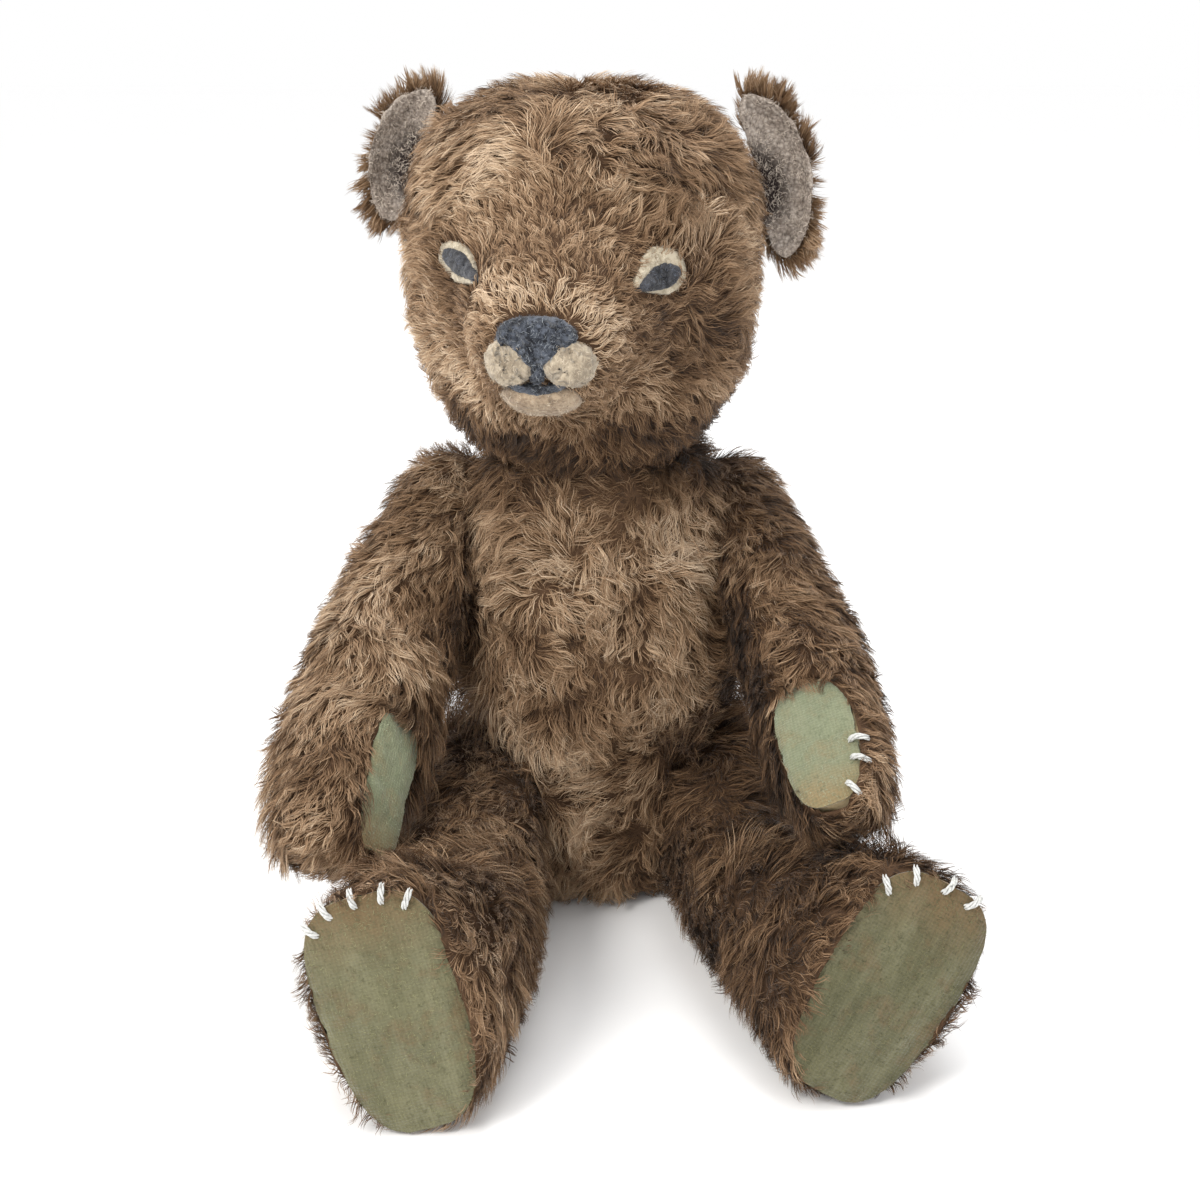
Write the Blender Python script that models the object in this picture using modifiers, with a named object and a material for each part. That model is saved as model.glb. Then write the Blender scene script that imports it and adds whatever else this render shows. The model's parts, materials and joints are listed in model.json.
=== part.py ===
"""Jointed teddy bear, sitting, built as its separate sewn, stuffed and jointed pieces.

Metres, +Z up.  The bear faces -Y, its left side is +X, and the origin is the middle of the flat seat
under the torso.  Each limb and the head turns on a disc joint: a card disc and a washer on either side
of the two skins, drawn together by one cotter pin that lies on the joint's axis.
"""
import math

import bmesh
import bpy
from mathutils import Matrix, Vector
from mathutils.bvhtree import BVHTree

# ---------------------------------------------------------------- driving dimensions
SKIN = 0.0012            # mohair cloth
FELT_GAP = 0.0008        # air under a felt piece that follows a faceted skin
GAP = 0.0003             # air between touching pieces
STUFFING_GAP = 0.0013    # air between a skin and its stuffing
SEAM_GAP = 0.0003        # half of the air between two skins at a joint

# neck
NECK_AXIS = Vector((-0.003, -0.006, 0.168))
# shoulders: centre of the disc, its X outward, tilt of the disc plane, and how far the arm is raised
SHOULDER = {"left": Vector((0.0425, 0.000, 0.135)), "right": Vector((0.0455, 0.000, 0.136))}
SHOULDER_TILT = math.radians(12)
ARM_RAISE = {"left": math.radians(64), "right": math.radians(50)}
# hips: centre of the disc on the bear's left, tilt of the disc plane, and how far each leg is splayed
HIP = Vector((0.0200, 0.004, 0.0325))
HIP_TILT = math.radians(4)
LEG_SPLAY = {"left": math.radians(6.5), "right": math.radians(1.5)}
FOOT_LEAN = {"left": math.radians(27), "right": math.radians(12)}
ANKLE_START, ANKLE_END = 0.075, 0.160          # where a leg turns to the lean of its foot
FOOT_OUT = {"left": 0.0455, "right": 0.0345}   # the sole's middle, from the hip's plane
LEG_LENGTH = {"left": 0.177, "right": 0.186}   # hip axis to the middle of the sole
SOLE_TILT = math.radians(8)

HEAD_CENTRE = Vector((-0.006, -0.012, 0.235))
HEAD_YAW = math.radians(-8)
HEAD_RADII = (0.0595, 0.0560)   # half width and half depth
CROWN = (0.0580, 3.0)           # how far the head reaches up, and how square its outline is there
JAW = (0.0735, 2.4)             # the same, downward
MUZZLE_PITCH = math.radians(-10)
MUZZLE_LENGTH = 0.036
MUZZLE_SPREAD = math.radians(20)

# disc joints
DISC_THICK = 0.0030
WASHER_THICK = 0.0012
PIN_WIRE = 0.0008        # radius of the cotter pin's wire
PIN_HALF_SPACE = 0.0009  # half of the space between the middles of its two legs
PIN_HOLE = 0.0022
DISC_FACE = SEAM_GAP + SKIN + GAP
WASHER_FACE = DISC_FACE + DISC_THICK + GAP
PIN_FACE = WASHER_FACE + WASHER_THICK + GAP + PIN_WIRE
EYE_RADIUS = 0.0026      # the loop at the pin's head
CURL_RADIUS = 0.0024     # the turned ends of the pin
POCKET_DEPTH = PIN_FACE + 2 * EYE_RADIUS + 0.0035
POCKET_MARGIN = 0.0008   # air round a disc in the stuffing
ROUND_SEGMENTS = 20
NECK_DISC, SHOULDER_DISC, HIP_DISC = 0.0120, 0.0115, 0.0175   # radii of the card discs

SIDES = {"left": 1, "right": -1}

# stations of the torso: height, half width, half depth, middle in depth
TORSO_RINGS = (
    (-0.004, 0.036, 0.040, 0.000), (0.012, 0.045, 0.049, -0.001), (0.040, 0.051, 0.052, -0.002),
    (0.074, 0.0550, 0.0525, -0.003), (0.103, 0.0555, 0.049, -0.002), (0.130, 0.0550, 0.043, -0.001),
    (0.152, 0.0525, 0.037, -0.002), (0.175, 0.0465, 0.032, -0.005))
# stations of an arm: distance from the shoulder, middle outward, middle backward, half width, half thickness
ARM_RINGS = (
    (-0.0240, 0.0080, 0.0000, 0.0165, 0.0155), (-0.0130, 0.0105, 0.0000, 0.0210, 0.0195),
    (0.0050, 0.0125, 0.0020, 0.0240, 0.0225), (0.0350, 0.0175, 0.0050, 0.0240, 0.0230),
    (0.0700, 0.0225, 0.0060, 0.0240, 0.0232), (0.1020, 0.0240, 0.0020, 0.0235, 0.0228),
    (0.1290, 0.0245, -0.0040, 0.0215, 0.0200), (0.1490, 0.0250, -0.0090, 0.0150, 0.0140))
ARM_LONGER = {"left": 1.03, "right": 1.0}       # share of those distances
ARM_BULGE = {"left": 0.0015, "right": 0.0050}   # how much further out its middle stands
ARM_SLIMNESS = {"left": 0.86, "right": 1.0}    # share of those outward sizes that an arm has
# stations of a leg: distance from the hip, middle outward on its way to the sole's, middle upward,
# half width, half height
LEG_RINGS = (
    (-0.0285, 0.0150, 0.0000, 0.0175, 0.0180), (-0.0185, 0.0170, 0.0000, 0.0255, 0.0270),
    (0.0030, 0.0190, 0.0000, 0.0310, 0.0330), (0.0400, 0.0230, -0.001, 0.0310, 0.0320),
    (0.0800, 0.0250, -0.004, 0.0295, 0.0270), (0.1130, 0.0262, -0.006, 0.0300, 0.0245),
    (0.1440, 0.0285, 0.0040, 0.0300, 0.0350), (0.1680, 0.0320, 0.0080, 0.0280, 0.0425),
    (0.1960, 0.0345, 0.0080, 0.0245, 0.0415))
LEG_STATIONS_LENGTH = 0.182     # the leg length that these stations are for
LIMB_SQUARENESS = 0.90
THIGH_TOP = 0.0325              # above the hip's axis, where the belly starts to hang over the thigh
THIGH_ROUND = 0.0390            # radius about the hip's axis that is kept clear behind it
BELLY_SLOPE, BACK_SLOPE = 3.0, 1.2   # how fast the torso widens past the thigh, at its front and back

FOOT_PAD = (0.0208, 0.0372)     # half width and half height of the sole's pad
FOOT_PAD_SQUARENESS = 0.74
FOOT_PAD_UP = 0.0080            # its middle above the leg's
INSOLE_THICK = 0.0015
PAW_PAD = (0.0130, 0.0265)      # half width and half height of the palm's pad
PAW_PAD_DISTANCE = {"left": 0.1250, "right": 0.1165}   # its middle, along the arm
PAW_PAD_TURN = {"left": math.radians(15), "right": math.radians(55)}   # from the front toward the body
PAW_OUT = {"left": 0.90, "right": 1.0}   # share of the outward place of its middle
PAW_PAD_RIM = 0.004             # flat cloth round it
PAW_PAD_DEPTH = 0.0166          # its plane, from the arm's middle line
PAW_MIDDLE = (0.0242, 0.0010)   # that middle line, outward and backward of the shoulder axis

EAR_MIDDLE = {"left": math.radians(67), "right": math.radians(62)}   # from straight up
EAR_HALF_CHORD = {"left": 0.0248, "right": 0.0205}
EAR_HEIGHT = 0.0200
EAR_CUP = 0.0080
EAR_THICK = 0.0018
EAR_ROOT_GAP = 0.0012           # air between the ear and the head
EAR_BACK = 0.0040               # how far behind the head's middle its rim stands

# felt of the face, in its X-Z plane: half width, half height, middle outward, middle up
NOSE = (0.0125, 0.0070, 0.0, -0.0112)
EYE_RIM = (0.0080, 0.0064, 0.0320, 0.0042)
PUPIL = (0.0062, 0.0040, 0.0320, 0.0034)
UPPER_LIP = (0.0080, 0.0064, 0.0103, -0.0237)
LOWER_LIP = (0.0100, 0.0032, 0.0, -0.0366)
MOUTH = (0.0115, 0.0010, 0.0, -0.0318)
EYE_RIM_RISE = 0.0010           # height of its felt over the skin

# repair stitches
THREAD = 0.00045                # radius of the thread
THREAD_LIFT = 0.0012            # its middle, in front of the pad

COLOURS = {
    "mohair": (0.205, 0.105, 0.048, 1.0, 0.85, 0.0), "wood_wool": (0.62, 0.50, 0.30, 1.0, 0.95, 0.0),
    "velveteen": (0.27, 0.26, 0.145, 1.0, 0.90, 0.0), "worn_backing": (0.30, 0.23, 0.16, 1.0, 0.95, 0.0),
    "dark_felt": (0.030, 0.034, 0.045, 1.0, 0.95, 0.0), "cream_felt": (0.60, 0.47, 0.31, 1.0, 0.95, 0.0),
    "white_thread": (0.78, 0.76, 0.72, 1.0, 0.70, 0.0), "card": (0.36, 0.24, 0.13, 1.0, 0.90, 0.0),
    "steel": (0.55, 0.55, 0.55, 1.0, 0.35, 1.0),
}


# ---------------------------------------------------------------- scene and mesh helpers
def empty_scene():
    for old in list(bpy.data.objects):
        bpy.data.objects.remove(old, do_unlink=True)
    part = bpy.data.collections.new("jointed_teddy_bear")
    cutters = bpy.data.collections.new("cutters")
    bpy.context.scene.collection.children.link(part)
    bpy.context.scene.collection.children.link(cutters)
    return part, cutters


PART, CUTTERS = empty_scene()


def material(name):
    found = bpy.data.materials.get(name)
    if found:
        return found
    made = bpy.data.materials.new(name)
    made.use_nodes = True
    red, green, blue, alpha, roughness, metallic = COLOURS[name]
    shader = made.node_tree.nodes["Principled BSDF"]
    shader.inputs["Base Color"].default_value = (red, green, blue, alpha)
    shader.inputs["Roughness"].default_value = roughness
    shader.inputs["Metallic"].default_value = metallic
    made.diffuse_color = (red, green, blue, alpha)
    return made


def new_object(name, mesh, material_name=None, collection=None):
    thing = bpy.data.objects.new(name, mesh)
    (collection or PART).objects.link(thing)
    if material_name:
        mesh.materials.clear()
        mesh.materials.append(material(material_name))
    return thing


def mesh_from(points, faces, name="mesh"):
    mesh = bpy.data.meshes.new(name)
    mesh.from_pydata([tuple(p) for p in points], [], faces)
    tidy_normals(mesh)
    return mesh


def tidy_normals(mesh):
    form = bmesh.new()
    form.from_mesh(mesh)
    bmesh.ops.recalc_face_normals(form, faces=form.faces)
    form.to_mesh(mesh)
    form.free()


def evaluated_mesh(thing):
    bpy.context.view_layer.update()
    graph = bpy.context.evaluated_depsgraph_get()
    return bpy.data.meshes.new_from_object(thing.evaluated_get(graph))


def carve(thing, *cutters):
    """Cut closed cutters out of a piece, and remove them."""
    for cutter in cutters:
        cut = thing.modifiers.new("cut", "BOOLEAN")
        cut.operation = "DIFFERENCE"
        cut.solver = "EXACT"
        cut.object = cutter
    mesh = evaluated_mesh(thing)
    thing.modifiers.clear()
    thing.data = mesh
    for cutter in cutters:
        bpy.data.objects.remove(cutter, do_unlink=True)
    return thing


def loft_cage(rings, segments, squareness):
    """Closed, capped cage through flat rings.  A ring is its middle and two half-size vectors."""
    points, faces = [], []
    for middle, half_a, half_b in rings:
        for step in range(segments):
            turn = 2 * math.pi * step / segments
            along = math.copysign(abs(math.cos(turn)) ** squareness, math.cos(turn))
            across = math.copysign(abs(math.sin(turn)) ** squareness, math.sin(turn))
            points.append(middle + half_a * along + half_b * across)
    for ring in range(len(rings) - 1):
        low, high = ring * segments, (ring + 1) * segments
        for step in range(segments):
            after = (step + 1) % segments
            faces.append((low + step, low + after, high + after, high + step))
    faces.append(tuple(range(segments)))
    faces.append(tuple(range((len(rings) - 1) * segments, len(rings) * segments)))
    return mesh_from(points, faces)


def smoothed(cage, levels=1):
    """The cage after Subdivision Surface, in triangles."""
    holder = new_object("cage", cage, collection=CUTTERS)
    soft = holder.modifiers.new("soft", "SUBSURF")
    soft.levels = soft.render_levels = levels
    holder.modifiers.new("triangles", "TRIANGULATE")
    mesh = evaluated_mesh(holder)
    bpy.data.objects.remove(holder, do_unlink=True)
    return mesh


def inset_copy(mesh, depth, clamp):
    """A copy of a closed skin, moved inward by depth and then held inside its flats."""
    made = mesh.copy()
    points = [vert.co - vert.normal * depth for vert in mesh.vertices]
    for vert, point in zip(made.vertices, points):
        vert.co = clamp(point, depth)
    made.update()
    return made


def transformed(mesh, matrix):
    mesh.transform(matrix)
    if matrix.determinant() < 0:
        mesh.flip_normals()
    return mesh


def cylinder(name, matrix, radius, low, high, material_name=None, collection=None, segments=ROUND_SEGMENTS):
    """A cylinder along the matrix's X axis, from low to high."""
    form = bmesh.new()
    place = Matrix.Translation((0.5 * (low + high), 0, 0)) @ Matrix.Rotation(math.pi / 2, 4, "Y")
    bmesh.ops.create_cone(form, cap_ends=True, segments=segments, radius1=radius, radius2=radius,
                          depth=high - low, matrix=place)
    mesh = bpy.data.meshes.new(name)
    form.to_mesh(mesh)
    form.free()
    transformed(mesh, matrix)
    tidy_normals(mesh)
    return new_object(name, mesh, material_name, collection)


def ring_disc(name, matrix, radius, low, high, material_name):
    disc = cylinder(name, matrix, radius, low, high, material_name)
    return carve(disc, cylinder("hole", matrix, PIN_HOLE, low - 0.01, high + 0.01, collection=CUTTERS,
                                segments=12))


def prism(name, outline, matrix, low, high, material_name=None, collection=None):
    """A flat outline in the matrix's X-Z plane, thickened along its Y axis from low to high."""
    count = len(outline)
    points = [matrix @ Vector((x, low, z)) for x, z in outline]
    points += [matrix @ Vector((x, high, z)) for x, z in outline]
    faces = [tuple(range(count)), tuple(range(2 * count - 1, count - 1, -1))]
    faces += [(i, (i + 1) % count, count + (i + 1) % count, count + i) for i in range(count)]
    return new_object(name, mesh_from(points, faces, name), material_name, collection)


def egg(half_width, half_height, taper=0.10, squareness=0.86, count=28, middle=(0.0, 0.0), lean=0.0):
    """A rounded, slightly squared oval that is wider at its top."""
    outline = []
    for step in range(count):
        turn = 2 * math.pi * step / count
        up = math.copysign(abs(math.sin(turn)) ** squareness, math.sin(turn))
        side = math.copysign(abs(math.cos(turn)) ** squareness, math.cos(turn)) * (1 + taper * up)
        x, z = half_width * side, half_height * up
        outline.append((middle[0] + x * math.cos(lean) + z * math.sin(lean),
                        middle[1] - x * math.sin(lean) + z * math.cos(lean)))
    return outline


def wire(name, points, radius, material_name, resolution=1):
    """A bent wire or thread through the points, with closed ends, as a mesh."""
    curve = bpy.data.curves.new(name, "CURVE")
    curve.dimensions = "3D"
    curve.bevel_depth = radius
    curve.bevel_resolution = resolution
    curve.use_fill_caps = True
    spline = curve.splines.new("POLY")
    spline.points.add(len(points) - 1)
    for spot, point in zip(spline.points, points):
        spot.co = (*point, 1.0)
    holder = bpy.data.objects.new(name + "_path", curve)
    CUTTERS.objects.link(holder)
    mesh = evaluated_mesh(holder)
    form = bmesh.new()
    form.from_mesh(mesh)
    bmesh.ops.remove_doubles(form, verts=form.verts, dist=1e-6)
    bmesh.ops.recalc_face_normals(form, faces=form.faces)
    form.to_mesh(mesh)
    form.free()
    bpy.data.objects.remove(holder, do_unlink=True)
    return new_object(name, mesh, material_name)


# ---------------------------------------------------------------- places
def mirrored(matrix, side):
    return Matrix.Scale(SIDES[side], 4, (1, 0, 0)) @ matrix if SIDES[side] < 0 else matrix


def frame(origin, x_axis, y_axis, z_axis):
    matrix = Matrix((x_axis, y_axis, z_axis)).transposed().to_4x4()
    return Matrix.Translation(origin) @ matrix


def shoulder_frame(side):
    """X outward along the shoulder's axis, Z back up the arm, -Y the arm's front."""
    tilt, lift = SHOULDER_TILT, ARM_RAISE[side]
    outward = Vector((math.cos(tilt), 0, math.sin(tilt)))
    down = Vector((math.sin(tilt), 0, -math.cos(tilt)))
    forward = Vector((0, -1, 0))
    along = down * math.cos(lift) + forward * math.sin(lift)
    front = forward * math.cos(lift) - down * math.sin(lift)
    return mirrored(frame(SHOULDER[side], outward, -front, -along), side)


def hip_frame(side):
    """X outward along the hip's axis, -Y along the leg, Z up across it."""
    tilt, splay = HIP_TILT, LEG_SPLAY[side]
    outward = Vector((math.cos(tilt) * math.cos(splay), math.cos(tilt) * math.sin(splay), -math.sin(tilt)))
    back = Vector((-math.sin(splay), math.cos(splay), 0))
    return mirrored(frame(HIP, outward, back, outward.cross(back)), side)


def neck_frame():
    """X up the neck's axis, towards the head."""
    return frame(NECK_AXIS, Vector((0, 0, 1)), Vector((1, 0, 0)), Vector((0, 1, 0)))


def head_frame():
    return Matrix.Translation(HEAD_CENTRE) @ Matrix.Rotation(HEAD_YAW, 4, "Z")


SHOULDERS = {side: shoulder_frame(side) for side in SIDES}
HIPS = {side: hip_frame(side) for side in SIDES}
NECK = neck_frame()
HEAD = head_frame()


# ---------------------------------------------------------------- joints
def joint_pieces(joint, child, matrix, disc_radius, body="body"):
    """Two discs, two washers and the cotter pin.  -X of the matrix is the torso's side."""
    washer_radius = 0.5 * disc_radius
    for owner, direction in ((joint + "_" + body, -1), (child, 1)):
        ends = sorted((direction * DISC_FACE, direction * (DISC_FACE + DISC_THICK)))
        ring_disc(owner + "_disc", matrix, disc_radius, *ends, "card")
        ends = sorted((direction * WASHER_FACE, direction * (WASHER_FACE + WASHER_THICK)))
        ring_disc(owner + "_washer", matrix, washer_radius, *ends, "steel")
    half = []
    for step in range(7):
        turn = math.radians(-10 - 26 * step)
        half.append((PIN_HALF_SPACE + CURL_RADIUS * (1 + math.cos(turn)),
                     -PIN_FACE + CURL_RADIUS * math.sin(turn)))
    half.append((PIN_HALF_SPACE, -PIN_FACE + PIN_WIRE))
    half.append((PIN_HALF_SPACE, PIN_FACE))
    middle = PIN_FACE + 1.25 * EYE_RADIUS
    for step in range(4):
        turn = math.radians(-50 + 46 * step)
        half.append((EYE_RADIUS * math.cos(turn), middle + EYE_RADIUS * math.sin(turn)))
    path = half + [(-across, along) for across, along in reversed(half)]
    wire(joint + "_cotter_pin", [matrix @ Vector((along, across, 0)) for across, along in path],
         PIN_WIRE, "steel", resolution=0)


def pocket(matrix, disc_radius, direction):
    """Room in the stuffing for one side of a joint."""
    ends = sorted((0.0, direction * POCKET_DEPTH))
    return cylinder("pocket", matrix, disc_radius + POCKET_MARGIN, *ends, collection=CUTTERS, segments=16)


def pin_hole(matrix):
    return cylinder("pin_hole", matrix, PIN_HOLE, -0.006, 0.006, collection=CUTTERS, segments=12)


# ---------------------------------------------------------------- stuffed bodies
def stuffed(name, skin, clamp, skin_cuts, stuffing_cuts, matrix=None):
    """A hollow plush skin and the stuffing in it.  The cuts open the skin and clear the stuffing."""
    place = matrix or Matrix.Identity(4)
    outer = transformed(inset_copy(skin, 0.0, clamp), place)
    inner = transformed(inset_copy(skin, SKIN, clamp), place)
    core = transformed(inset_copy(skin, SKIN + STUFFING_GAP, clamp), place)
    plush = new_object(name + "_plush", outer, "mohair")
    carve(plush, new_object("hollow", inner, collection=CUTTERS), *skin_cuts)
    stuffing = new_object(name + "_stuffing", core, "wood_wool")
    carve(stuffing, *stuffing_cuts)
    return plush


def belly_room(back, up):
    """How far past the hip plane the torso may reach over the thigh, at a place in the hip's plane."""
    if up <= 0:
        return 0.0
    if back < 0:
        return max(0.0, BELLY_SLOPE * (up - THIGH_TOP))
    return max(0.0, BACK_SLOPE * (math.hypot(back, up) - THIGH_ROUND))


def torso_clamp(point, depth):
    """Hold a point of the torso inside the seat, the neck, the shoulder planes and the thighs' room."""
    kept = point.copy()
    for matrix in SHOULDERS.values():
        local = matrix.inverted() @ kept
        local.x = min(local.x, -SEAM_GAP - depth)
        kept = matrix @ local
    for matrix in HIPS.values():
        local = matrix.inverted() @ kept
        local.x = min(local.x, belly_room(local.y, local.z) - SEAM_GAP - depth)
        kept = matrix @ local
    kept.z = min(max(kept.z, depth), NECK_AXIS.z - SEAM_GAP - depth)
    return kept


def torso():
    rings = [(Vector((0, middle, z)), Vector((wide, 0, 0)), Vector((0, deep, 0)))
             for z, wide, deep, middle in TORSO_RINGS]
    skin = smoothed(loft_cage(rings, 14, 0.93))
    joints = [NECK, *SHOULDERS.values(), *HIPS.values()]
    radii = [NECK_DISC, SHOULDER_DISC, SHOULDER_DISC, HIP_DISC, HIP_DISC]
    stuffed("torso", skin, torso_clamp, [pin_hole(m) for m in joints],
            [pocket(m, r, -1) for m, r in zip(joints, radii)])


def arm(side):
    matrix = SHOULDERS[side]
    slim = ARM_SLIMNESS[side]
    rings = []
    for distance, outward, back, wide, thick in ARM_RINGS:
        bulge = 0.5 * ARM_BULGE[side] * math.sin(math.pi * max(0.0, distance) / ARM_RINGS[-1][0])
        rings.append((Vector((outward * slim + bulge, back, -distance * ARM_LONGER[side])),
                      Vector((thick * slim + bulge, 0, 0)), Vector((0, wide, 0))))
    skin = smoothed(loft_cage(rings, 10, LIMB_SQUARENESS))
    pad_matrix = paw_pad_frame(side)

    def clamp(point, depth):
        local = point.copy()
        local.x = max(local.x, SEAM_GAP + depth)
        on_pad = pad_matrix.inverted() @ local
        beyond = max(0.0, on_pad.z - PAW_PAD[1] - PAW_PAD_RIM)
        on_pad.y = max(on_pad.y, depth - beyond)
        return pad_matrix @ on_pad

    place = matrix @ pad_matrix
    opening = egg(*PAW_PAD)
    cut = prism("opening", opening, place, -0.004, 0.004, collection=CUTTERS)
    room = prism("room", opening, place, -0.004, SKIN + GAP, collection=CUTTERS)
    stuffed(side + "_arm", skin, clamp, [pin_hole(matrix), cut], [pocket(matrix, SHOULDER_DISC, 1), room],
            matrix)
    prism(side + "_paw_pad", egg(PAW_PAD[0] - GAP, PAW_PAD[1] - GAP), place, 0.0, SKIN, "velveteen")
    joint_pieces(side + "_shoulder", side + "_arm", matrix, SHOULDER_DISC)


def paw_pad_frame(side):
    """In the arm's own frame: -Y out of the pad, Z up the arm."""
    turn = PAW_PAD_TURN[side]
    normal_back = Vector((math.sin(turn), math.cos(turn), 0))
    across = Vector((math.cos(turn), -math.sin(turn), 0))
    middle = Vector((PAW_MIDDLE[0] * PAW_OUT[side], PAW_MIDDLE[1], -PAW_PAD_DISTANCE[side]))
    middle -= normal_back * PAW_PAD_DEPTH
    return frame(middle, across, normal_back, Vector((0, 0, 1)))


def sole_frame(side):
    """In a leg's own frame: -Y out of the sole, Z towards the toes."""
    return Matrix.Translation((0, -LEG_LENGTH[side], 0)) @ Matrix.Rotation(SOLE_TILT, 4, "X").inverted()


def leg(side):
    matrix = HIPS[side]
    lean = FOOT_LEAN[side]
    extra = FOOT_OUT[side] - LEG_RINGS[-1][1]
    rings = []
    length_share = LEG_LENGTH[side] / LEG_STATIONS_LENGTH
    for distance, outward, up, wide, high in LEG_RINGS:
        distance *= length_share if distance > 0 else 1.0
        share = min(1.0, max(0.0, (distance - ANKLE_START) / (ANKLE_END - ANKLE_START)))
        turn = lean * share
        rings.append((Vector((outward + extra * share, -distance, up)),
                      Vector((wide * math.cos(turn), 0, -wide * math.sin(turn))),
                      Vector((high * math.sin(turn), 0, high * math.cos(turn)))))
    skin = smoothed(loft_cage(rings, 10, LIMB_SQUARENESS))
    sole = sole_frame(side)
    floor = (matrix.inverted().to_3x3() @ Vector((0, 0, 1))).normalized()
    floor_level = (matrix @ Vector((0, 0, 0))).z

    def clamp(point, depth):
        local = point.copy()
        local.x = max(local.x, SEAM_GAP + depth)
        height = floor.dot(local) + floor_level
        local += floor * max(0.0, depth - height)
        on_sole = sole.inverted() @ local
        on_sole.y = max(on_sole.y, depth)
        return sole @ on_sole

    place = matrix @ sole
    middle = (FOOT_OUT[side], FOOT_PAD_UP)
    outline = egg(*FOOT_PAD, squareness=FOOT_PAD_SQUARENESS, middle=middle, lean=lean)
    inner_outline = egg(FOOT_PAD[0] - GAP, FOOT_PAD[1] - GAP, squareness=FOOT_PAD_SQUARENESS, middle=middle,
                        lean=lean)
    depth = SKIN + GAP + INSOLE_THICK + GAP
    cut = prism("opening", outline, place, -0.004, 0.004, collection=CUTTERS)
    room = prism("room", outline, place, -0.004, depth, collection=CUTTERS)
    stuffed(side + "_leg", skin, clamp, [pin_hole(matrix), cut], [pocket(matrix, HIP_DISC, 1), room], matrix)
    prism(side + "_foot_pad", inner_outline, place, 0.0, SKIN, "velveteen")
    prism(side + "_insole_board", inner_outline, place, SKIN + GAP, SKIN + GAP + INSOLE_THICK, "card")
    joint_pieces(side + "_hip", side + "_leg", matrix, HIP_DISC)


# ---------------------------------------------------------------- head
def head_radius(direction):
    """Distance from the head's middle to its skin."""
    reach, power = CROWN if direction.z > 0 else JAW
    level = math.hypot(direction.x / HEAD_RADII[0], direction.y / HEAD_RADII[1])
    total = level ** power + abs(direction.z / reach) ** power
    muzzle = Vector((0, -math.cos(MUZZLE_PITCH), math.sin(MUZZLE_PITCH)))
    swell = 1 / (1 + (direction.angle(muzzle) / MUZZLE_SPREAD) ** 4)
    return total ** (-1 / power) + MUZZLE_LENGTH * swell


def head_clamp(point, depth):
    world = HEAD @ point
    world.z = max(world.z, NECK_AXIS.z + SEAM_GAP + depth)
    return HEAD.inverted() @ world


def head_skin():
    form = bmesh.new()
    bmesh.ops.create_uvsphere(form, u_segments=26, v_segments=20, radius=1.0)
    to_muzzle = Matrix.Rotation(math.pi / 2 - MUZZLE_PITCH, 3, "X")
    for vert in form.verts:
        turn = math.acos(max(-1.0, min(1.0, vert.co.z)))
        closer = math.pi * (turn / math.pi) ** 1.35
        flat = Vector((vert.co.x, vert.co.y, 0)).normalized() * math.sin(closer)
        direction = to_muzzle @ Vector((flat.x, flat.y, math.cos(closer)))
        vert.co = direction * head_radius(direction)
    bmesh.ops.triangulate(form, faces=form.faces)
    mesh = bpy.data.meshes.new("head_skin")
    form.to_mesh(mesh)
    form.free()
    tidy_normals(mesh)
    return mesh


def head():
    plush = stuffed("head", head_skin(), head_clamp, [pin_hole(NECK)], [pocket(NECK, NECK_DISC, 1)], HEAD)
    joint_pieces("neck", "neck_head", NECK, NECK_DISC)
    local = plush.data.copy()
    local.transform(HEAD.inverted())
    form = bmesh.new()
    form.from_mesh(local)
    skin = BVHTree.FromBMesh(form)
    form.free()
    for side, sign in SIDES.items():
        ear(side, sign)
        eye(side, sign, skin)
        felt(side + "_upper_lip_felt", face_oval(UPPER_LIP, sign, 0.1, 0.9, 16), skin, 0.0030, "cream_felt")
    felt("nose_felt", nose_outline(), skin, 0.0038, "dark_felt")
    felt("mouth_felt", face_oval(MOUTH, 1, 0.0, 1.0, 16), skin, 0.0012, "dark_felt")
    felt("lower_lip_felt", face_oval(LOWER_LIP, 1, 0.0, 0.9, 16), skin, 0.0022, "cream_felt")


def face_oval(size, sign, taper, squareness, count):
    """Outline of a felt piece on one side of the face."""
    wide, high, outward, up = size
    return [(sign * (outward + x), z) for x, z in egg(wide, high, taper, squareness, count, (0.0, up))]


def nose_outline(count=20):
    """A soft triangle with its point down, in the face's X-Z plane."""
    half_width, half_height, _, up = NOSE
    outline = []
    for step in range(count):
        turn = 2 * math.pi * step / count
        wide = half_width * (1 + 0.26 * math.sin(turn))
        outline.append((wide * math.cos(turn), up + half_height * math.sin(turn)))
    return outline


def eye(side, sign, skin):
    felt(side + "_eye_rim_felt", face_oval(EYE_RIM, sign, 0.05, 1.0, 18), skin, EYE_RIM_RISE, "cream_felt")
    felt(side + "_pupil_felt", face_oval(PUPIL, sign, 0.0, 1.0, 18), skin, 0.0012, "dark_felt",
         FELT_GAP + EYE_RIM_RISE + GAP)


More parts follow.
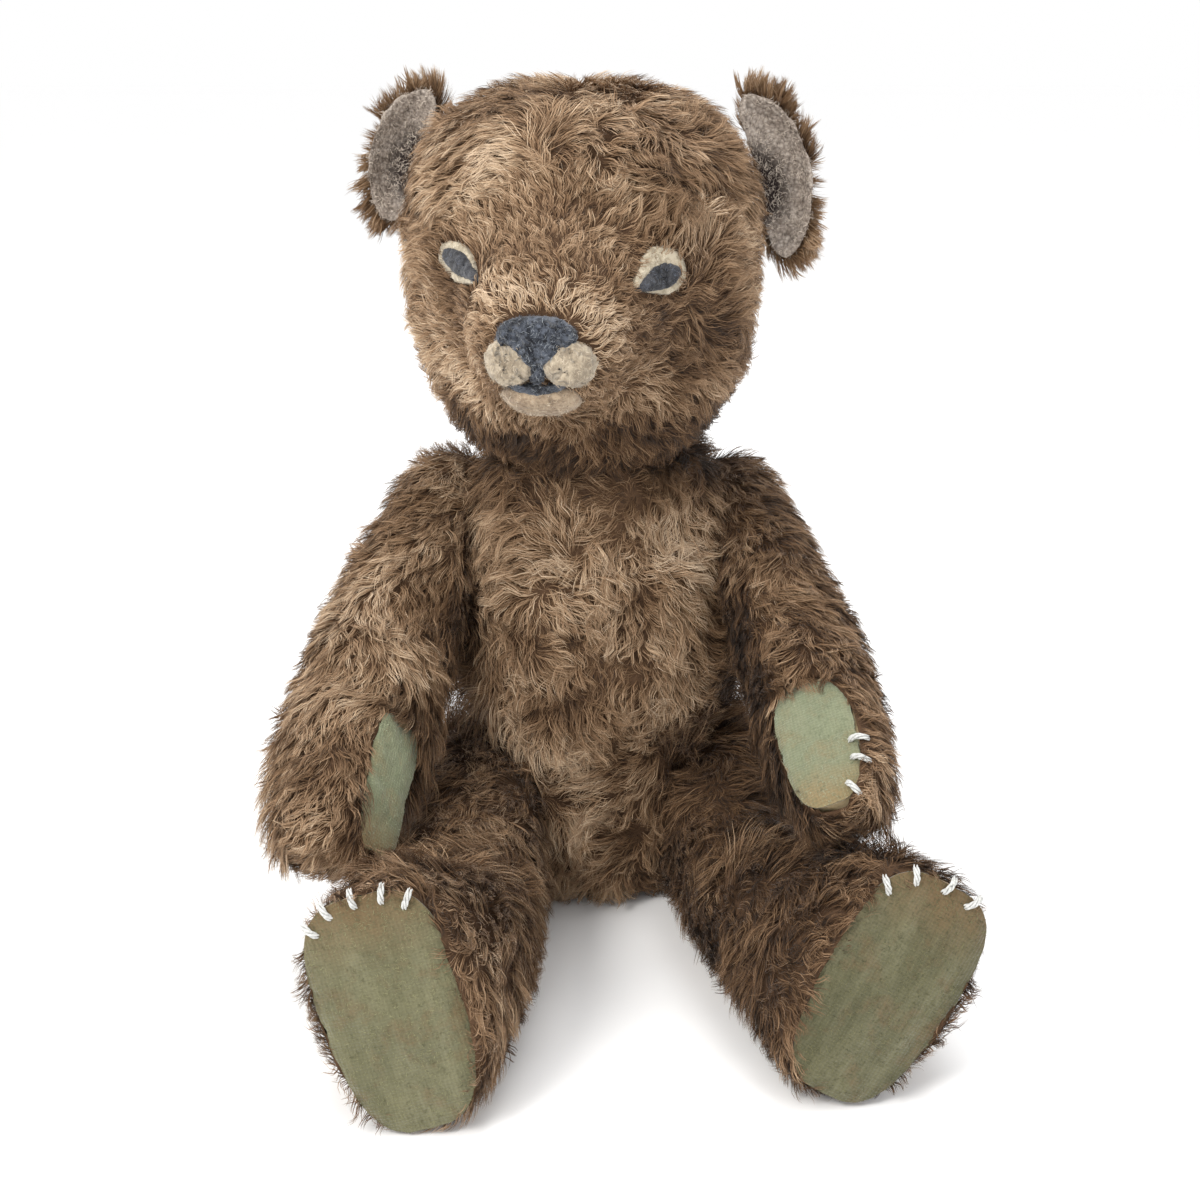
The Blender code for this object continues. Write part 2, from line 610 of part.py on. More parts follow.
def felt(name, outline, skin, height, material_name, lift=FELT_GAP):
    """A domed felt piece with this outline in the face's X-Z plane, laid over the skin in front of it."""
    count = len(outline)
    middle = Vector((sum(x for x, _ in outline) / count, 0, sum(z for _, z in outline) / count))
    shares = (1.0, 0.78, 0.42)
    points = []
    for raised in (0.0, 1.0):
        for share in shares + (0.0,):
            spots = outline if share else [(middle.x, middle.z)]
            for x, z in spots:
                spot = middle.lerp(Vector((x, 0, z)), share)
                surface, normal, _, _ = skin.ray_cast(Vector((spot.x, -0.2, spot.z)), Vector((0, 1, 0)))
                rise = lift + raised * height * (0.35 + 0.65 * math.sqrt(1 - share ** 2))
                points.append(HEAD @ (surface + normal * rise))
    faces = []
    layer = len(shares) * count + 1
    for base in (0, layer):
        for ring in range(len(shares) - 1):
            low, high = base + ring * count, base + (ring + 1) * count
            faces += [(low + i, low + (i + 1) % count, high + (i + 1) % count, high + i) for i in range(count)]
        last = base + (len(shares) - 1) * count
        faces += [(last + i, last + (i + 1) % count, base + len(shares) * count) for i in range(count)]
    faces += [(i, (i + 1) % count, layer + (i + 1) % count, layer + i) for i in range(count)]
    return new_object(name, mesh_from(points, faces, name), material_name)


def ear(side, sign):
    """Back and lining of one cupped ear, half round, following the head at its root."""
    count, shares = 22, (1.0, 0.66, 0.33)
    outline = []
    for step in range(count):
        turn = 2 * math.pi * step / count
        along = EAR_HALF_CHORD[side] * math.cos(turn)
        outline.append((along, 0.5 * EAR_HEIGHT * (1 + math.sin(turn) * (1.0 if math.sin(turn) > 0 else 0.92))))

    def place(along, outward, back):
        angle = EAR_MIDDLE[side] + along / (HEAD_RADII[0] + 0.4 * outward)
        flat = Vector((math.sin(angle), 0, math.cos(angle)))
        reach = head_radius(flat) + EAR_ROOT_GAP + outward
        spot = flat * reach + Vector((0, EAR_BACK + back, 0))
        return HEAD @ Vector((sign * spot.x, spot.y, spot.z))

    for name, material_name, start in (("_ear_lining", "worn_backing", 0.0),
                                       ("_ear_back", "mohair", EAR_THICK + GAP)):
        points = []
        for layer in (start, start + EAR_THICK):
            for share in shares + (0.0,):
                spots = outline if share else [(0.0, 0.5 * EAR_HEIGHT)]
                for along, outward in spots:
                    a = along * share
                    b = 0.5 * EAR_HEIGHT + (outward - 0.5 * EAR_HEIGHT) * share
                    points.append(place(a, b, layer + EAR_CUP * (1 - share ** 2)))
        faces = []
        size = len(shares) * count + 1
        for base in (0, size):
            for ring in range(len(shares) - 1):
                low, high = base + ring * count, base + (ring + 1) * count
                faces += [(low + i, low + (i + 1) % count, high + (i + 1) % count, high + i)
                          for i in range(count)]
            last = base + (len(shares) - 1) * count
            faces += [(last + i, last + (i + 1) % count, base + len(shares) * count) for i in range(count)]
        faces += [(i, (i + 1) % count, size + (i + 1) % count, size + i) for i in range(count)]
        new_object(side + name, mesh_from(points, faces, side + name), material_name)


# ---------------------------------------------------------------- repair threads
def toe_thread(side, stitches=4):
    """Overcast stitches from the foot pad over the toe's edge."""
    place = HIPS[side] @ sole_frame(side)
    lean = FOOT_LEAN[side]
    path = []
    for step in range(2 * stitches):
        turn = math.radians(128 - 76 * step / (2 * stitches - 1))
        pad_x, pad_z = (FOOT_PAD[0] - 0.004) * math.cos(turn), (FOOT_PAD[1] - 0.004) * math.sin(turn)
        rim_x, rim_z = (FOOT_PAD[0] + 0.0052) * math.cos(turn), (FOOT_PAD[1] + 0.0062) * math.sin(turn)
        spots = [(pad_x, pad_z), (rim_x, rim_z)]
        if step % 2:
            spots.reverse()
        for x, z in spots:
            path.append(place @ Vector((FOOT_OUT[side] + x * math.cos(lean) + z * math.sin(lean), -THREAD_LIFT,
                                        FOOT_PAD_UP - x * math.sin(lean) + z * math.cos(lean))))
    wire(side + "_foot_repair_thread", path, THREAD, "white_thread")


def paw_thread(side, stitches=3):
    """Three stitches across the edge of the paw pad, at its lower outer end."""
    place = SHOULDERS[side] @ paw_pad_frame(side)
    path = []
    for step in range(2 * stitches):
        turn = math.radians(-30 - 50 * step / (2 * stitches - 1))
        spots = [((PAW_PAD[0] - 0.003) * math.cos(turn), (PAW_PAD[1] - 0.003) * math.sin(turn)),
                 ((PAW_PAD[0] + 0.003) * math.cos(turn), (PAW_PAD[1] + 0.003) * math.sin(turn))]
        if step % 2:
            spots.reverse()
        path += [place @ Vector((x, -THREAD_LIFT, z)) for x, z in spots]
    wire(side + "_paw_repair_thread", path, THREAD, "white_thread")


torso()
head()
for which in SIDES:
    arm(which)
    leg(which)
    toe_thread(which)
paw_thread("left")
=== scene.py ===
"""Looks of the jointed teddy bear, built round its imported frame.

Metres, +Z up.  The bear faces -Y, and its left side is +X.
"""
import json
import math

import bmesh
import bpy
import numpy as np
from mathutils import Matrix, Vector
from mathutils.bvhtree import BVHTree
from mathutils.kdtree import KDTree


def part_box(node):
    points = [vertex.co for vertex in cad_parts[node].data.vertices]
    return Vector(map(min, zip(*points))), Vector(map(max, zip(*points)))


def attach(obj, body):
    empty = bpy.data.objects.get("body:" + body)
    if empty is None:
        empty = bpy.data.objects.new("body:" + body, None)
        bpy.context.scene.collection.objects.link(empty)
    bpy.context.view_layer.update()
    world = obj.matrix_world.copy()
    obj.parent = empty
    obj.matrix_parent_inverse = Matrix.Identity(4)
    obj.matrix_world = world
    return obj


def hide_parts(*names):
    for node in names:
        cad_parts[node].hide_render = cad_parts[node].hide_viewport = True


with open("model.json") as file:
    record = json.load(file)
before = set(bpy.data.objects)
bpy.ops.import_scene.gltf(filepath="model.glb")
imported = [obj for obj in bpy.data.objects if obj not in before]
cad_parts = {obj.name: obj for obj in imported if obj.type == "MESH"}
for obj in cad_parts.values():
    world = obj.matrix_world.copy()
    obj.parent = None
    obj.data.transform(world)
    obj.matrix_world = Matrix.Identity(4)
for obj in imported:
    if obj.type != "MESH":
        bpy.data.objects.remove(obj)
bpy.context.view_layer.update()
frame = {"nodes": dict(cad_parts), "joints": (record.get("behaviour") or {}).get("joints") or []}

NODES = frame["nodes"]
JOINTS = {joint["name"]: joint for joint in frame["joints"]}
SIDES = {"left": 1, "right": -1}
UP = np.array([0.0, 0.0, 1.0])
DENSITY = 1.0    # share of the pile's strands that is grown

SCENE = bpy.context.scene


# ---------------- camera, light, floor
LAMPS = (("key", (-0.75, -0.95, 1.15), (0, 0, 0.13), 0.6, 16.0, (1.0, 0.98, 0.95)),
         ("top", (0.10, 0.10, 1.5), (0, 0, 0.12), 0.9, 9.0, (1.0, 1.0, 1.0)),
         ("fill", (1.1, -1.0, 0.55), (0, 0, 0.12), 0.9, 3.0, (0.95, 0.97, 1.0)))
FLOOR_HALF = 25.0


def link(name, data, material=None):
    thing = bpy.data.objects.new(name, data)
    SCENE.collection.objects.link(thing)
    if material:
        data.materials.clear()
        data.materials.append(material)
    return thing


def camera():
    lens = bpy.data.cameras.new("camera")
    lens.sensor_width = 36.0
    lens.lens = 49.74
    SCENE.camera = link("camera", lens)
    SCENE.camera.location = (0.0, -0.6, 0.3)
    SCENE.camera.rotation_euler = (math.radians(90 - 17.9), 0.0, 0.0)


def lights():
    SCENE.view_settings.view_transform = "Standard"
    SCENE.world = bpy.data.worlds.new("studio")
    SCENE.world.use_nodes = True
    sky = SCENE.world.node_tree.nodes["Background"].inputs
    sky["Color"].default_value = (1.0, 1.0, 1.0, 1.0)
    sky["Strength"].default_value = 1.0
    for name, place, target, size, power, colour in LAMPS:
        lamp = bpy.data.lights.new(name, "AREA")
        lamp.shape = "DISK"
        lamp.size, lamp.energy, lamp.color = size, power, colour
        thing = link(name, lamp)
        thing.location = place
        thing.rotation_euler = (Vector(target) - Vector(place)).to_track_quat("-Z", "Y").to_euler()


def floor():
    mesh = bpy.data.meshes.new("floor")
    mesh.from_pydata([(x * FLOOR_HALF, y * FLOOR_HALF, 0.0) for x, y in ((-1, -1), (1, -1), (1, 1), (-1, 1))],
                     [], [(0, 1, 2, 3)])
    white = Shader("floor", Base_Color=(1.0, 1.0, 1.0, 1.0), Roughness=0.9, Specular_IOR_Level=0.1)
    link("floor", mesh, white.material)


# ---------------- materials
class Shader:
    """A node-based material, written one call per node."""

    def __init__(self, name, **sockets):
        self.material = bpy.data.materials.new(name)
        self.material.use_nodes = True
        self.tree = self.material.node_tree
        self.main = self.tree.nodes["Principled BSDF"]
        for socket, value in sockets.items():
            self.main.inputs[socket.replace("_", " ")].default_value = value

    def node(self, kind, inputs=None, **settings):
        made = self.tree.nodes.new("ShaderNode" + kind)
        for key, value in settings.items():
            setattr(made, key, value)
        for socket, value in (inputs or {}).items():
            if isinstance(value, bpy.types.NodeSocket):
                self.tree.links.new(value, made.inputs[socket])
            else:
                made.inputs[socket].default_value = value
        return made

    def place(self, uv=None):
        if uv:
            return self.node("UVMap", uv_map=uv).outputs["UV"]
        return self.node("TexCoord").outputs["Object"]

    def noise(self, vector, scale, detail=4.0, roughness=0.6, stretch=None):
        if stretch:
            vector = self.node("Mapping", {"Vector": vector, "Scale": stretch}).outputs["Vector"]
        return self.node("TexNoise", {"Vector": vector, "Scale": scale, "Detail": detail,
                                      "Roughness": roughness}).outputs["Fac"]

    def ramp(self, value, *stops):
        """stops are (place, colour) or (place, grey)."""
        made = self.node("ValToRGB", {"Fac": value})
        bar = made.color_ramp.elements
        while len(bar) < len(stops):
            bar.new(0.5)
        for element, (spot, colour) in zip(bar, stops):
            element.position = spot
            grey = not isinstance(colour, tuple)
            element.color = (colour, colour, colour, 1.0) if grey else (*colour, 1.0)
        return made.outputs["Color"]

    def mix(self, share, low, high, blend="MIX"):
        made = self.node("Mix", data_type="RGBA", blend_type=blend)
        for index, value in ((0, share), (6, low), (7, high)):
            if isinstance(value, bpy.types.NodeSocket):
                self.tree.links.new(value, made.inputs[index])
            elif isinstance(value, tuple):
                made.inputs[index].default_value = (*value, 1.0)
            else:
                made.inputs[index].default_value = value
        return made.outputs[2]

    def maths(self, operation, a, b=0.0, clamp=False):
        return self.node("Math", {0: a, 1: b}, operation=operation, use_clamp=clamp).outputs[0]

    def smooth_range(self, value, low, high):
        """0 at low and 1 at high, eased at both."""
        return self.node("MapRange", {"Value": value, "From Min": low, "From Max": high}, clamp=True,
                         interpolation_type="SMOOTHSTEP").outputs[0]

    def colour(self, socket):
        self.tree.links.new(socket, self.main.inputs["Base Color"])

    def bump(self, height, strength, distance):
        made = self.node("Bump", {"Height": height, "Strength": strength, "Distance": distance})
        self.tree.links.new(made.outputs["Normal"], self.main.inputs["Normal"])


camera()
lights()
floor()

# the dyed mohair, from its darkest strands and roots to the bleached tips; the dark of the roots is partly
# painted shade deep in the pile
SHADES = ((0.034, 0.020, 0.012), (0.070, 0.037, 0.018), (0.120, 0.066, 0.032), (0.185, 0.107, 0.055),
          (0.262, 0.162, 0.090), (0.355, 0.235, 0.140), (0.465, 0.330, 0.210), (0.600, 0.455, 0.315))


def mohair_shades():
    return [Shader(f"mohair_{index}", Base_Color=(*colour, 1.0), Roughness=0.62, Specular_IOR_Level=0.22,
                   Sheen_Weight=0.10, Sheen_Roughness=0.4).material for index, colour in enumerate(SHADES)]


def flat_shades(name, *colours):
    return [Shader(f"{name}_{index}", Base_Color=(*colour, 1.0), Roughness=0.8,
                   Specular_IOR_Level=0.2).material for index, colour in enumerate(colours)]


def backing_material():
    """The woven ground of the mohair, seen between the strands: stained by the dye, and darker still by
    painted shade of the deep pile.
    """
    made = Shader("mohair_ground_and_shade", Roughness=0.95, Specular_IOR_Level=0.1)
    place = made.place()
    cloudy = made.noise(place, 45.0, 5.0)
    fine = made.noise(place, 900.0, 3.0, 0.7)
    # these dark browns are partly painted shade, standing for the shade deep in the pile
    base = made.ramp(cloudy, (0.3, (0.060, 0.034, 0.020)), (0.7, (0.130, 0.075, 0.043)))
    made.colour(made.mix(0.6, base, made.ramp(fine, (0.35, 0.35), (0.7, 1.0)), "MULTIPLY"))
    made.bump(fine, 0.6, 0.0006)
    return made.material


def velveteen_material(name, stain_from, stain_to, shift, base, deep, stain):
    """Cut pile cloth, worn to its weave.  Its UV is in metres on the pad, and rust-brown stains cover it
    from the height stain_from to stain_to."""
    made = Shader(name, Roughness=0.92, Specular_IOR_Level=0.15, Sheen_Weight=0.35, Sheen_Roughness=0.45)
    place = made.place("cloth")
    cloudy = made.noise(place, 38.0 + shift, 5.0, 0.62)
    streak = made.noise(place, 120.0, 4.0, 0.65, (1.0, 0.16, 1.0))
    threads = [made.node("TexWave", {"Vector": place, "Scale": scale, "Distortion": wobble, "Detail": 3.0,
                                     "Detail Scale": 3.0}, wave_type="BANDS",
                         bands_direction=way).outputs["Fac"]
               for way, scale, wobble in (("X", 260.0, 3.2), ("Y", 300.0, 4.0))]
    weave = made.maths("MULTIPLY", made.maths("ADD", *threads), 0.5)
    colour = made.mix(made.ramp(cloudy, (0.32, 0.0), (0.68, 1.0)), base, deep)
    colour = made.mix(made.ramp(streak, (0.35, 0.0), (0.75, 0.45)), colour, (0.27, 0.255, 0.160))
    along = made.node("SeparateXYZ", {"Vector": place}).outputs["Y"]
    patchy = made.maths("MULTIPLY", made.maths("SUBTRACT", made.noise(place, 55.0, 6.0, 0.7), 0.5), 0.035)
    level = made.smooth_range(made.maths("ADD", along, patchy), stain_from, stain_to)
    spots = made.ramp(made.noise(place, 75.0, 5.0, 0.7), (0.50, 0.0), (0.68, 0.55))
    share = made.maths("MAXIMUM", made.maths("MULTIPLY", level, 0.8), spots)
    colour = made.mix(share, colour, stain)
    colour = made.mix(0.38, colour, made.ramp(weave, (0.15, 0.62), (0.85, 1.0)), "MULTIPLY")
    made.colour(colour)
    height = made.maths("ADD", weave, made.maths("MULTIPLY", streak, 0.8))
    made.bump(height, 0.55, 0.0004)
    return made.material


def felt_material(name, low, high):
    """Needle felt: matted fibres of slightly different colours."""
    made = Shader(name, Roughness=0.95, Specular_IOR_Level=0.12, Sheen_Weight=0.25, Sheen_Roughness=0.5)
    place = made.place()
    matted = made.noise(place, 640.0, 6.0, 0.72)
    cloudy = made.noise(place, 160.0, 4.0, 0.6)
    share = made.ramp(made.maths("MULTIPLY", made.maths("ADD", matted, cloudy), 0.5), (0.43, 0.0),
                      (0.57, 1.0))
    made.colour(made.mix(share, low, high))
    made.bump(matted, 0.8, 0.0007)
    return made.material


# painted shade in the fold at the ear's root, near-black round a point in the hollow
EAR_FOLD_SHADE = (0.011, 0.020)    # the dark fold at the ear's root: fully dark within, gone beyond


def worn_backing_material(name, hollow):
    """The ear's lining: mohair worn down to its grey-beige ground, with painted shade in the fold at its
    root.
    """
    made = Shader(name, Roughness=0.97, Specular_IOR_Level=0.08)
    place = made.place()
    ribs = made.node("TexVoronoi", {"Vector": place, "Scale": 820.0}, feature="F1").outputs["Distance"]
    cloudy = made.noise(place, 130.0, 5.0, 0.7)
    colour = made.ramp(ribs, (0.1, (0.50, 0.44, 0.385)), (0.55, (0.31, 0.265, 0.228)),
                       (0.9, (0.14, 0.117, 0.10)))
    colour = made.mix(made.ramp(cloudy, (0.42, 0.0), (0.66, 0.55)), colour, (0.155, 0.115, 0.088))
    apart = made.node("VectorMath", {0: place, 1: hollow}, operation="DISTANCE").outputs["Value"]
    # painted shade: near-black within the fold at the ear's root, fading out beyond it
    made.colour(made.mix(made.smooth_range(apart, *EAR_FOLD_SHADE), (0.022, 0.016, 0.015), colour))
    made.bump(made.maths("SUBTRACT", 1.0, ribs), 0.8, 0.0007)
    return made.material


def plain_material(name, low, high, scale, roughness, metallic=0.0, bump=0.0002):
    made = Shader(name, Roughness=roughness, Metallic=metallic)
    place = made.place()
    grain = made.noise(place, scale, 6.0, 0.65)
    made.colour(made.ramp(grain, (0.3, low), (0.7, high)))
    made.bump(grain, 0.4, bump)
    return made.material


MOHAIR = mohair_shades()
GROUND_WITH_SHADE = backing_material()
DARK_FELT = felt_material("dark_felt", (0.009, 0.010, 0.014), (0.085, 0.096, 0.120))
PUPIL_FELT = felt_material("pupil_felt", (0.006, 0.006, 0.008), (0.042, 0.043, 0.050))
CREAM_FELT = felt_material("cream_felt", (0.27, 0.22, 0.16), (0.46, 0.385, 0.285))
EYE_CREAM = felt_material("eye_cream_felt", (0.30, 0.25, 0.175), (0.52, 0.45, 0.335))
TAN_FELT = felt_material("tan_felt", (0.24, 0.17, 0.11), (0.42, 0.32, 0.22))
THREAD = plain_material("white_thread", (0.40, 0.40, 0.38), (0.70, 0.70, 0.68), 1500.0, 0.75)
WOOD_WOOL = plain_material("wood_wool", (0.42, 0.31, 0.16), (0.68, 0.54, 0.33), 260.0, 0.95, bump=0.001)
CARD = plain_material("card", (0.26, 0.17, 0.09), (0.40, 0.28, 0.16), 420.0, 0.92)
STEEL = plain_material("steel", (0.34, 0.33, 0.31), (0.62, 0.61, 0.58), 700.0, 0.38, metallic=1.0)


# ---------------- mesh and number helpers
WELD = 2e-5    # split corners closer than this are one


class Waves:
    """Smooth seeded noise from sine waves, about -1 to 1, with features of a given size in metres."""

    def __init__(self, seed, size, width=1, count=14):
        rng = np.random.default_rng(seed)
        way = rng.normal(size=(width, count, 3))
        way /= np.linalg.norm(way, axis=2, keepdims=True)
        self.ways = way * (2 * math.pi / size) * rng.uniform(0.55, 1.6, (width, count, 1))
        self.phases = rng.uniform(0, 2 * math.pi, (width, count))

    def __call__(self, points):
        found = np.sin(np.einsum("nd,wcd->nwc", points, self.ways) + self.phases).sum(2)
        found *= 1.25 / math.sqrt(self.phases.shape[1])
        return found[:, 0] if found.shape[1] == 1 else found


def unit(vectors):
    return vectors / np.maximum(np.linalg.norm(vectors, axis=-1, keepdims=True), 1e-9)


def smooth(low, high, values):
    share = np.clip((values - low) / (high - low), 0, 1)
    return share * share * (3 - 2 * share)


def piece(name, mesh, material, body, nodes=()):
    """A visible piece that rides on a body.  It can stand for CAD nodes, which it hides."""
    thing = link(name, mesh, material)
    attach(thing, body)
    if nodes:
        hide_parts(*nodes)
    return thing


def set_points(mesh, points):
    mesh.vertices.foreach_set("co", points.astype(np.float32).ravel())
    mesh.update()


def faces_outward(mesh, source=None):
    """Turn a closed mesh's faces outward.  With a source, it becomes a copy of it with joined corners."""
    form = bmesh.new()
    form.from_mesh(source or mesh)
    if source:
        bmesh.ops.remove_doubles(form, verts=form.verts, dist=WELD)
    bmesh.ops.recalc_face_normals(form, faces=form.faces)
    form.to_mesh(mesh)
    form.free()


def refined(node, levels):
    """A CAD node's mesh, its split corners joined, rounded by Subdivision Surface."""
    mesh = bpy.data.meshes.new(node + "_refined")
    faces_outward(mesh, NODES[node].data)
    holder = link("holder", mesh)
    soft = holder.modifiers.new("soft", "SUBSURF")
    soft.levels = soft.render_levels = levels
    bpy.context.view_layer.update()
    graph = bpy.context.evaluated_depsgraph_get()
    made = bpy.data.meshes.new_from_object(holder.evaluated_get(graph))
    bpy.data.objects.remove(holder, do_unlink=True)
    made.shade_smooth()
    return made


def vertex_array(mesh, what="co"):
    source = mesh.vertices if what == "co" else mesh.vertex_normals
    flat = np.empty(len(source) * 3, np.float32)
    source.foreach_get(what, flat)
    return flat.reshape(-1, 3).astype(float)


def crumpled(mesh, *waves):
    """A mesh's points moved along their normals by waves of (height, seed, size), and those normals."""
    points, normals = vertex_array(mesh), vertex_array(mesh, "vector")
    points += normals * sum(height * Waves(seed, size)(points) for height, seed, size in waves)[:, None]
    return points, normals


def triangle_array(mesh):
    mesh.calc_loop_triangles()
    flat = np.empty(len(mesh.loop_triangles) * 3, np.int32)
    mesh.loop_triangles.foreach_get("vertices", flat)
    return flat.reshape(-1, 3)


def tree_of(*meshes):
    points, faces = [], []
    for mesh in meshes:
        start = len(points)
        points += [tuple(p) for p in vertex_array(mesh)]
        faces += [tuple(int(i) + start for i in t) for t in triangle_array(mesh)]
    return BVHTree.FromPolygons(points, faces)


def nearest_of(points, trees, reach):
    """Distance to the nearest of several surfaces, at most reach, and the place there."""
    far, spots = np.full(len(points), reach), points.copy()
    for tree in trees:
        for index, point in enumerate(points):
            spot, _, _, distance = tree.find_nearest(Vector(point), reach)
            if spot is not None and distance < far[index]:
                far[index], spots[index] = distance, spot
    return far, spots


def clearance(points, ways, tree, reach):
    """How far a ray runs before it meets the tree's surface, at most reach."""
    free = np.full(len(points), reach)
    for index, (point, way) in enumerate(zip(points, ways)):
        spot, _, _, distance = tree.ray_cast(Vector(point), Vector(way), reach)
        if spot is not None:
            free[index] = distance
    return free


# ---------------- the pile
STEPS = 5              # segments of a strand
FINE = 3               # straight bits in which each segment is followed
STRANDS_PER_LOCK = 8
MOST = 21000           # strands in one piece
TAPER = (0.85, 1.0, 0.95, 0.78, 0.5)          # width of a strand along its segments
# the roots' darker shade is partly painted shade deep in the pile; the lighter tips are bleached
ROOT_TO_TIP = (-1.5, -0.7, -0.1, 0.4, 0.8)    # its change of shade


def strand_paths(roots, normals, combs, lengths, lifts, curls, tones, rng, lock, hold):
    """Points along every strand, and its shade.  The strands near each lock's leader, within about the
    size lock, are drawn to its path by hold."""
    count = len(roots)
    along = np.linspace(0, 1, STEPS + 1)
    chosen = rng.choice(count, max(4, int(count / STRANDS_PER_LOCK)), replace=False)
    guides = KDTree(len(chosen))
    for index, strand in enumerate(chosen):
        guides.insert(Vector(roots[strand]), index)
    guides.balance()
    owner = np.fromiter((guides.find(Vector(root))[1] for root in roots), int, count)
    leader = chosen[owner]

    combs = unit(combs - normals * (combs * normals).sum(1, keepdims=True))
    binormals = np.cross(normals, combs)
    lock_phase = rng.uniform(0, 2 * math.pi, len(chosen))[owner]
    lock_turns = rng.uniform(0.55, 1.25, len(chosen))[owner]
    lock_swing = rng.normal(0, 0.30, len(chosen))[owner]
    lock_lift = rng.normal(0, 0.12, len(chosen))[owner]
    swing = lock_swing + rng.normal(0, 0.13, count)
    ways = combs * np.cos(swing)[:, None] + binormals * np.sin(swing)[:, None]
    across = np.cross(normals, ways)
    rise = lifts + lock_lift + rng.normal(0, 0.10, count)

    paths = np.empty((count, STEPS + 1, 3))
    paths[:, 0] = roots
    spot = roots.copy()
    for step in range(STEPS):
        for part in range(FINE):
            share = (step + (part + 0.5) / FINE) / STEPS
            angle = np.clip(rise * (1.25 - 1.05 * share), 0.03, 1.45)
            way = ways * np.cos(angle)[:, None] + normals * np.sin(angle)[:, None]
            spot = spot + way * (lengths / (STEPS * FINE))[:, None]
        paths[:, step + 1] = spot
    for step in range(1, STEPS + 1):
        share = along[step]
        wave = lock_phase + 2 * math.pi * lock_turns * share
        size = curls * share ** 0.8
        paths[:, step] += across * (size * (np.sin(wave) - np.sin(lock_phase)))[:, None]
        paths[:, step] += normals * (0.45 * size * (np.cos(wave) - np.cos(lock_phase)))[:, None]
    apart = roots - roots[leader]
    start = apart[:, None, :] * (1 - 0.88 * along ** 0.9)[None, :, None]
    close = np.clip(1.6 - np.linalg.norm(apart, axis=1) / lock, 0.15, 1)[:, None, None]
    pull = (hold * along ** 0.75)[None, :, None] * close
    paths = paths * (1 - pull) + (paths[leader] + start) * pull
    shade = tones + rng.normal(0, 0.45, len(chosen))[owner] + rng.normal(0, 0.75, count)
    return paths, shade


def strands_mesh(name, paths, shade, normals, widths, rng, materials, fade):
    """One mesh of tapered, pointed strands, each segment in its shade, darker at the root by fade, partly as
    painted shade deep in the pile.
    """
    count = len(paths)
    way = unit(paths[:, -1] - paths[:, 0])
    roll = rng.normal(0, 0.45, (count, 1))
    flat = unit(np.cross(way, normals))
    up = np.cross(flat, way)
    side = flat * np.cos(roll) + up * np.sin(roll)
    points = np.empty((count, 2 * STEPS + 1, 3), np.float32)
    for step in range(STEPS):
        half = side * (0.5 * widths * TAPER[step])[:, None]
        points[:, 2 * step] = paths[:, step] - half
        points[:, 2 * step + 1] = paths[:, step] + half
    points[:, 2 * STEPS] = paths[:, STEPS]
    corners = [2 * s + corner for s in range(STEPS - 1) for corner in (0, 1, 3, 2)]
    corners += [2 * STEPS - 2, 2 * STEPS - 1, 2 * STEPS]
    strand = np.arange(count)[:, None]
    loops = (strand * (2 * STEPS + 1) + np.array(corners)).astype(np.int32)
    starts = (strand * len(corners) + 4 * np.arange(STEPS)).astype(np.int32)
    mesh = bpy.data.meshes.new(name)
    mesh.vertices.add(points.shape[0] * points.shape[1])
    mesh.vertices.foreach_set("co", points.ravel())
    mesh.loops.add(loops.size)
    mesh.loops.foreach_set("vertex_index", loops.ravel())
    mesh.polygons.add(starts.size)
    mesh.polygons.foreach_set("loop_start", starts.ravel())
    gradient = fade * np.array(ROOT_TO_TIP)
    slot = np.clip(np.rint(shade[:, None] + gradient[None]), 0, len(materials) - 1).astype(np.int32)
    mesh.polygons.foreach_set("material_index", slot.ravel())
    mesh.update(calc_edges=True)
    mesh.shade_smooth()
    for made in materials:
        mesh.materials.append(made)
    return mesh


def above_floor(paths, rng):
    """Bend strands that would run into the floor, so that they lie on it."""
    low = 0.0004 + 0.0012 * rng.random(paths.shape[:2])
    paths[:, :, 2] = np.maximum(paths[:, :, 2], low)


def grow(name, body, roots, normals, field, seed, lock, hold=0.62):
    """The pile on a body, cut by height into pieces of at most MOST strands."""
    rng = np.random.default_rng(seed)
    paths, shade = strand_paths(roots, normals, field["comb"], field["length"], field["lift"],
                                field["curl"], field["tone"], rng, lock, hold)
    above_floor(paths, rng)
    widths = 0.00024 * rng.uniform(0.7, 1.3, len(roots)) / math.sqrt(DENSITY)
    parts = max(1, math.ceil(len(roots) / MOST))
    order = np.argsort(roots[:, 2], kind="stable")
    for index, chosen in enumerate(np.array_split(order, parts)):
        mesh = strands_mesh(f"{name}_{index + 1}", paths[chosen], shade[chosen], normals[chosen],
                            widths[chosen], rng, MOHAIR, 1.0)
        piece(mesh.name, mesh, None, body)


def triangle_crosses(mesh):
    """A mesh's triangles, their corners, and their normals as long as twice their areas."""
    triangles = triangle_array(mesh)
    corner = vertex_array(mesh)[triangles]
    return triangles, corner, np.cross(corner[:, 1] - corner[:, 0], corner[:, 2] - corner[:, 0])


def outer_faces(mesh, core_tree):
    """Triangles of a hollow skin that face away from what fills it, and their areas."""
    triangles, corner, cross = triangle_crosses(mesh)
    middle = corner.mean(1)
    area = 0.5 * np.linalg.norm(cross, axis=1)
    facing = unit(cross)
    kept = np.zeros(len(triangles), bool)
    for index in range(len(triangles)):
        spot, _, _, distance = core_tree.find_nearest(Vector(middle[index]))
        if spot is None or distance < 0.0014:
            continue
        kept[index] = (middle[index] - np.array(spot)) @ facing[index] > 0.6 * distance
    return triangles[kept], area[kept]


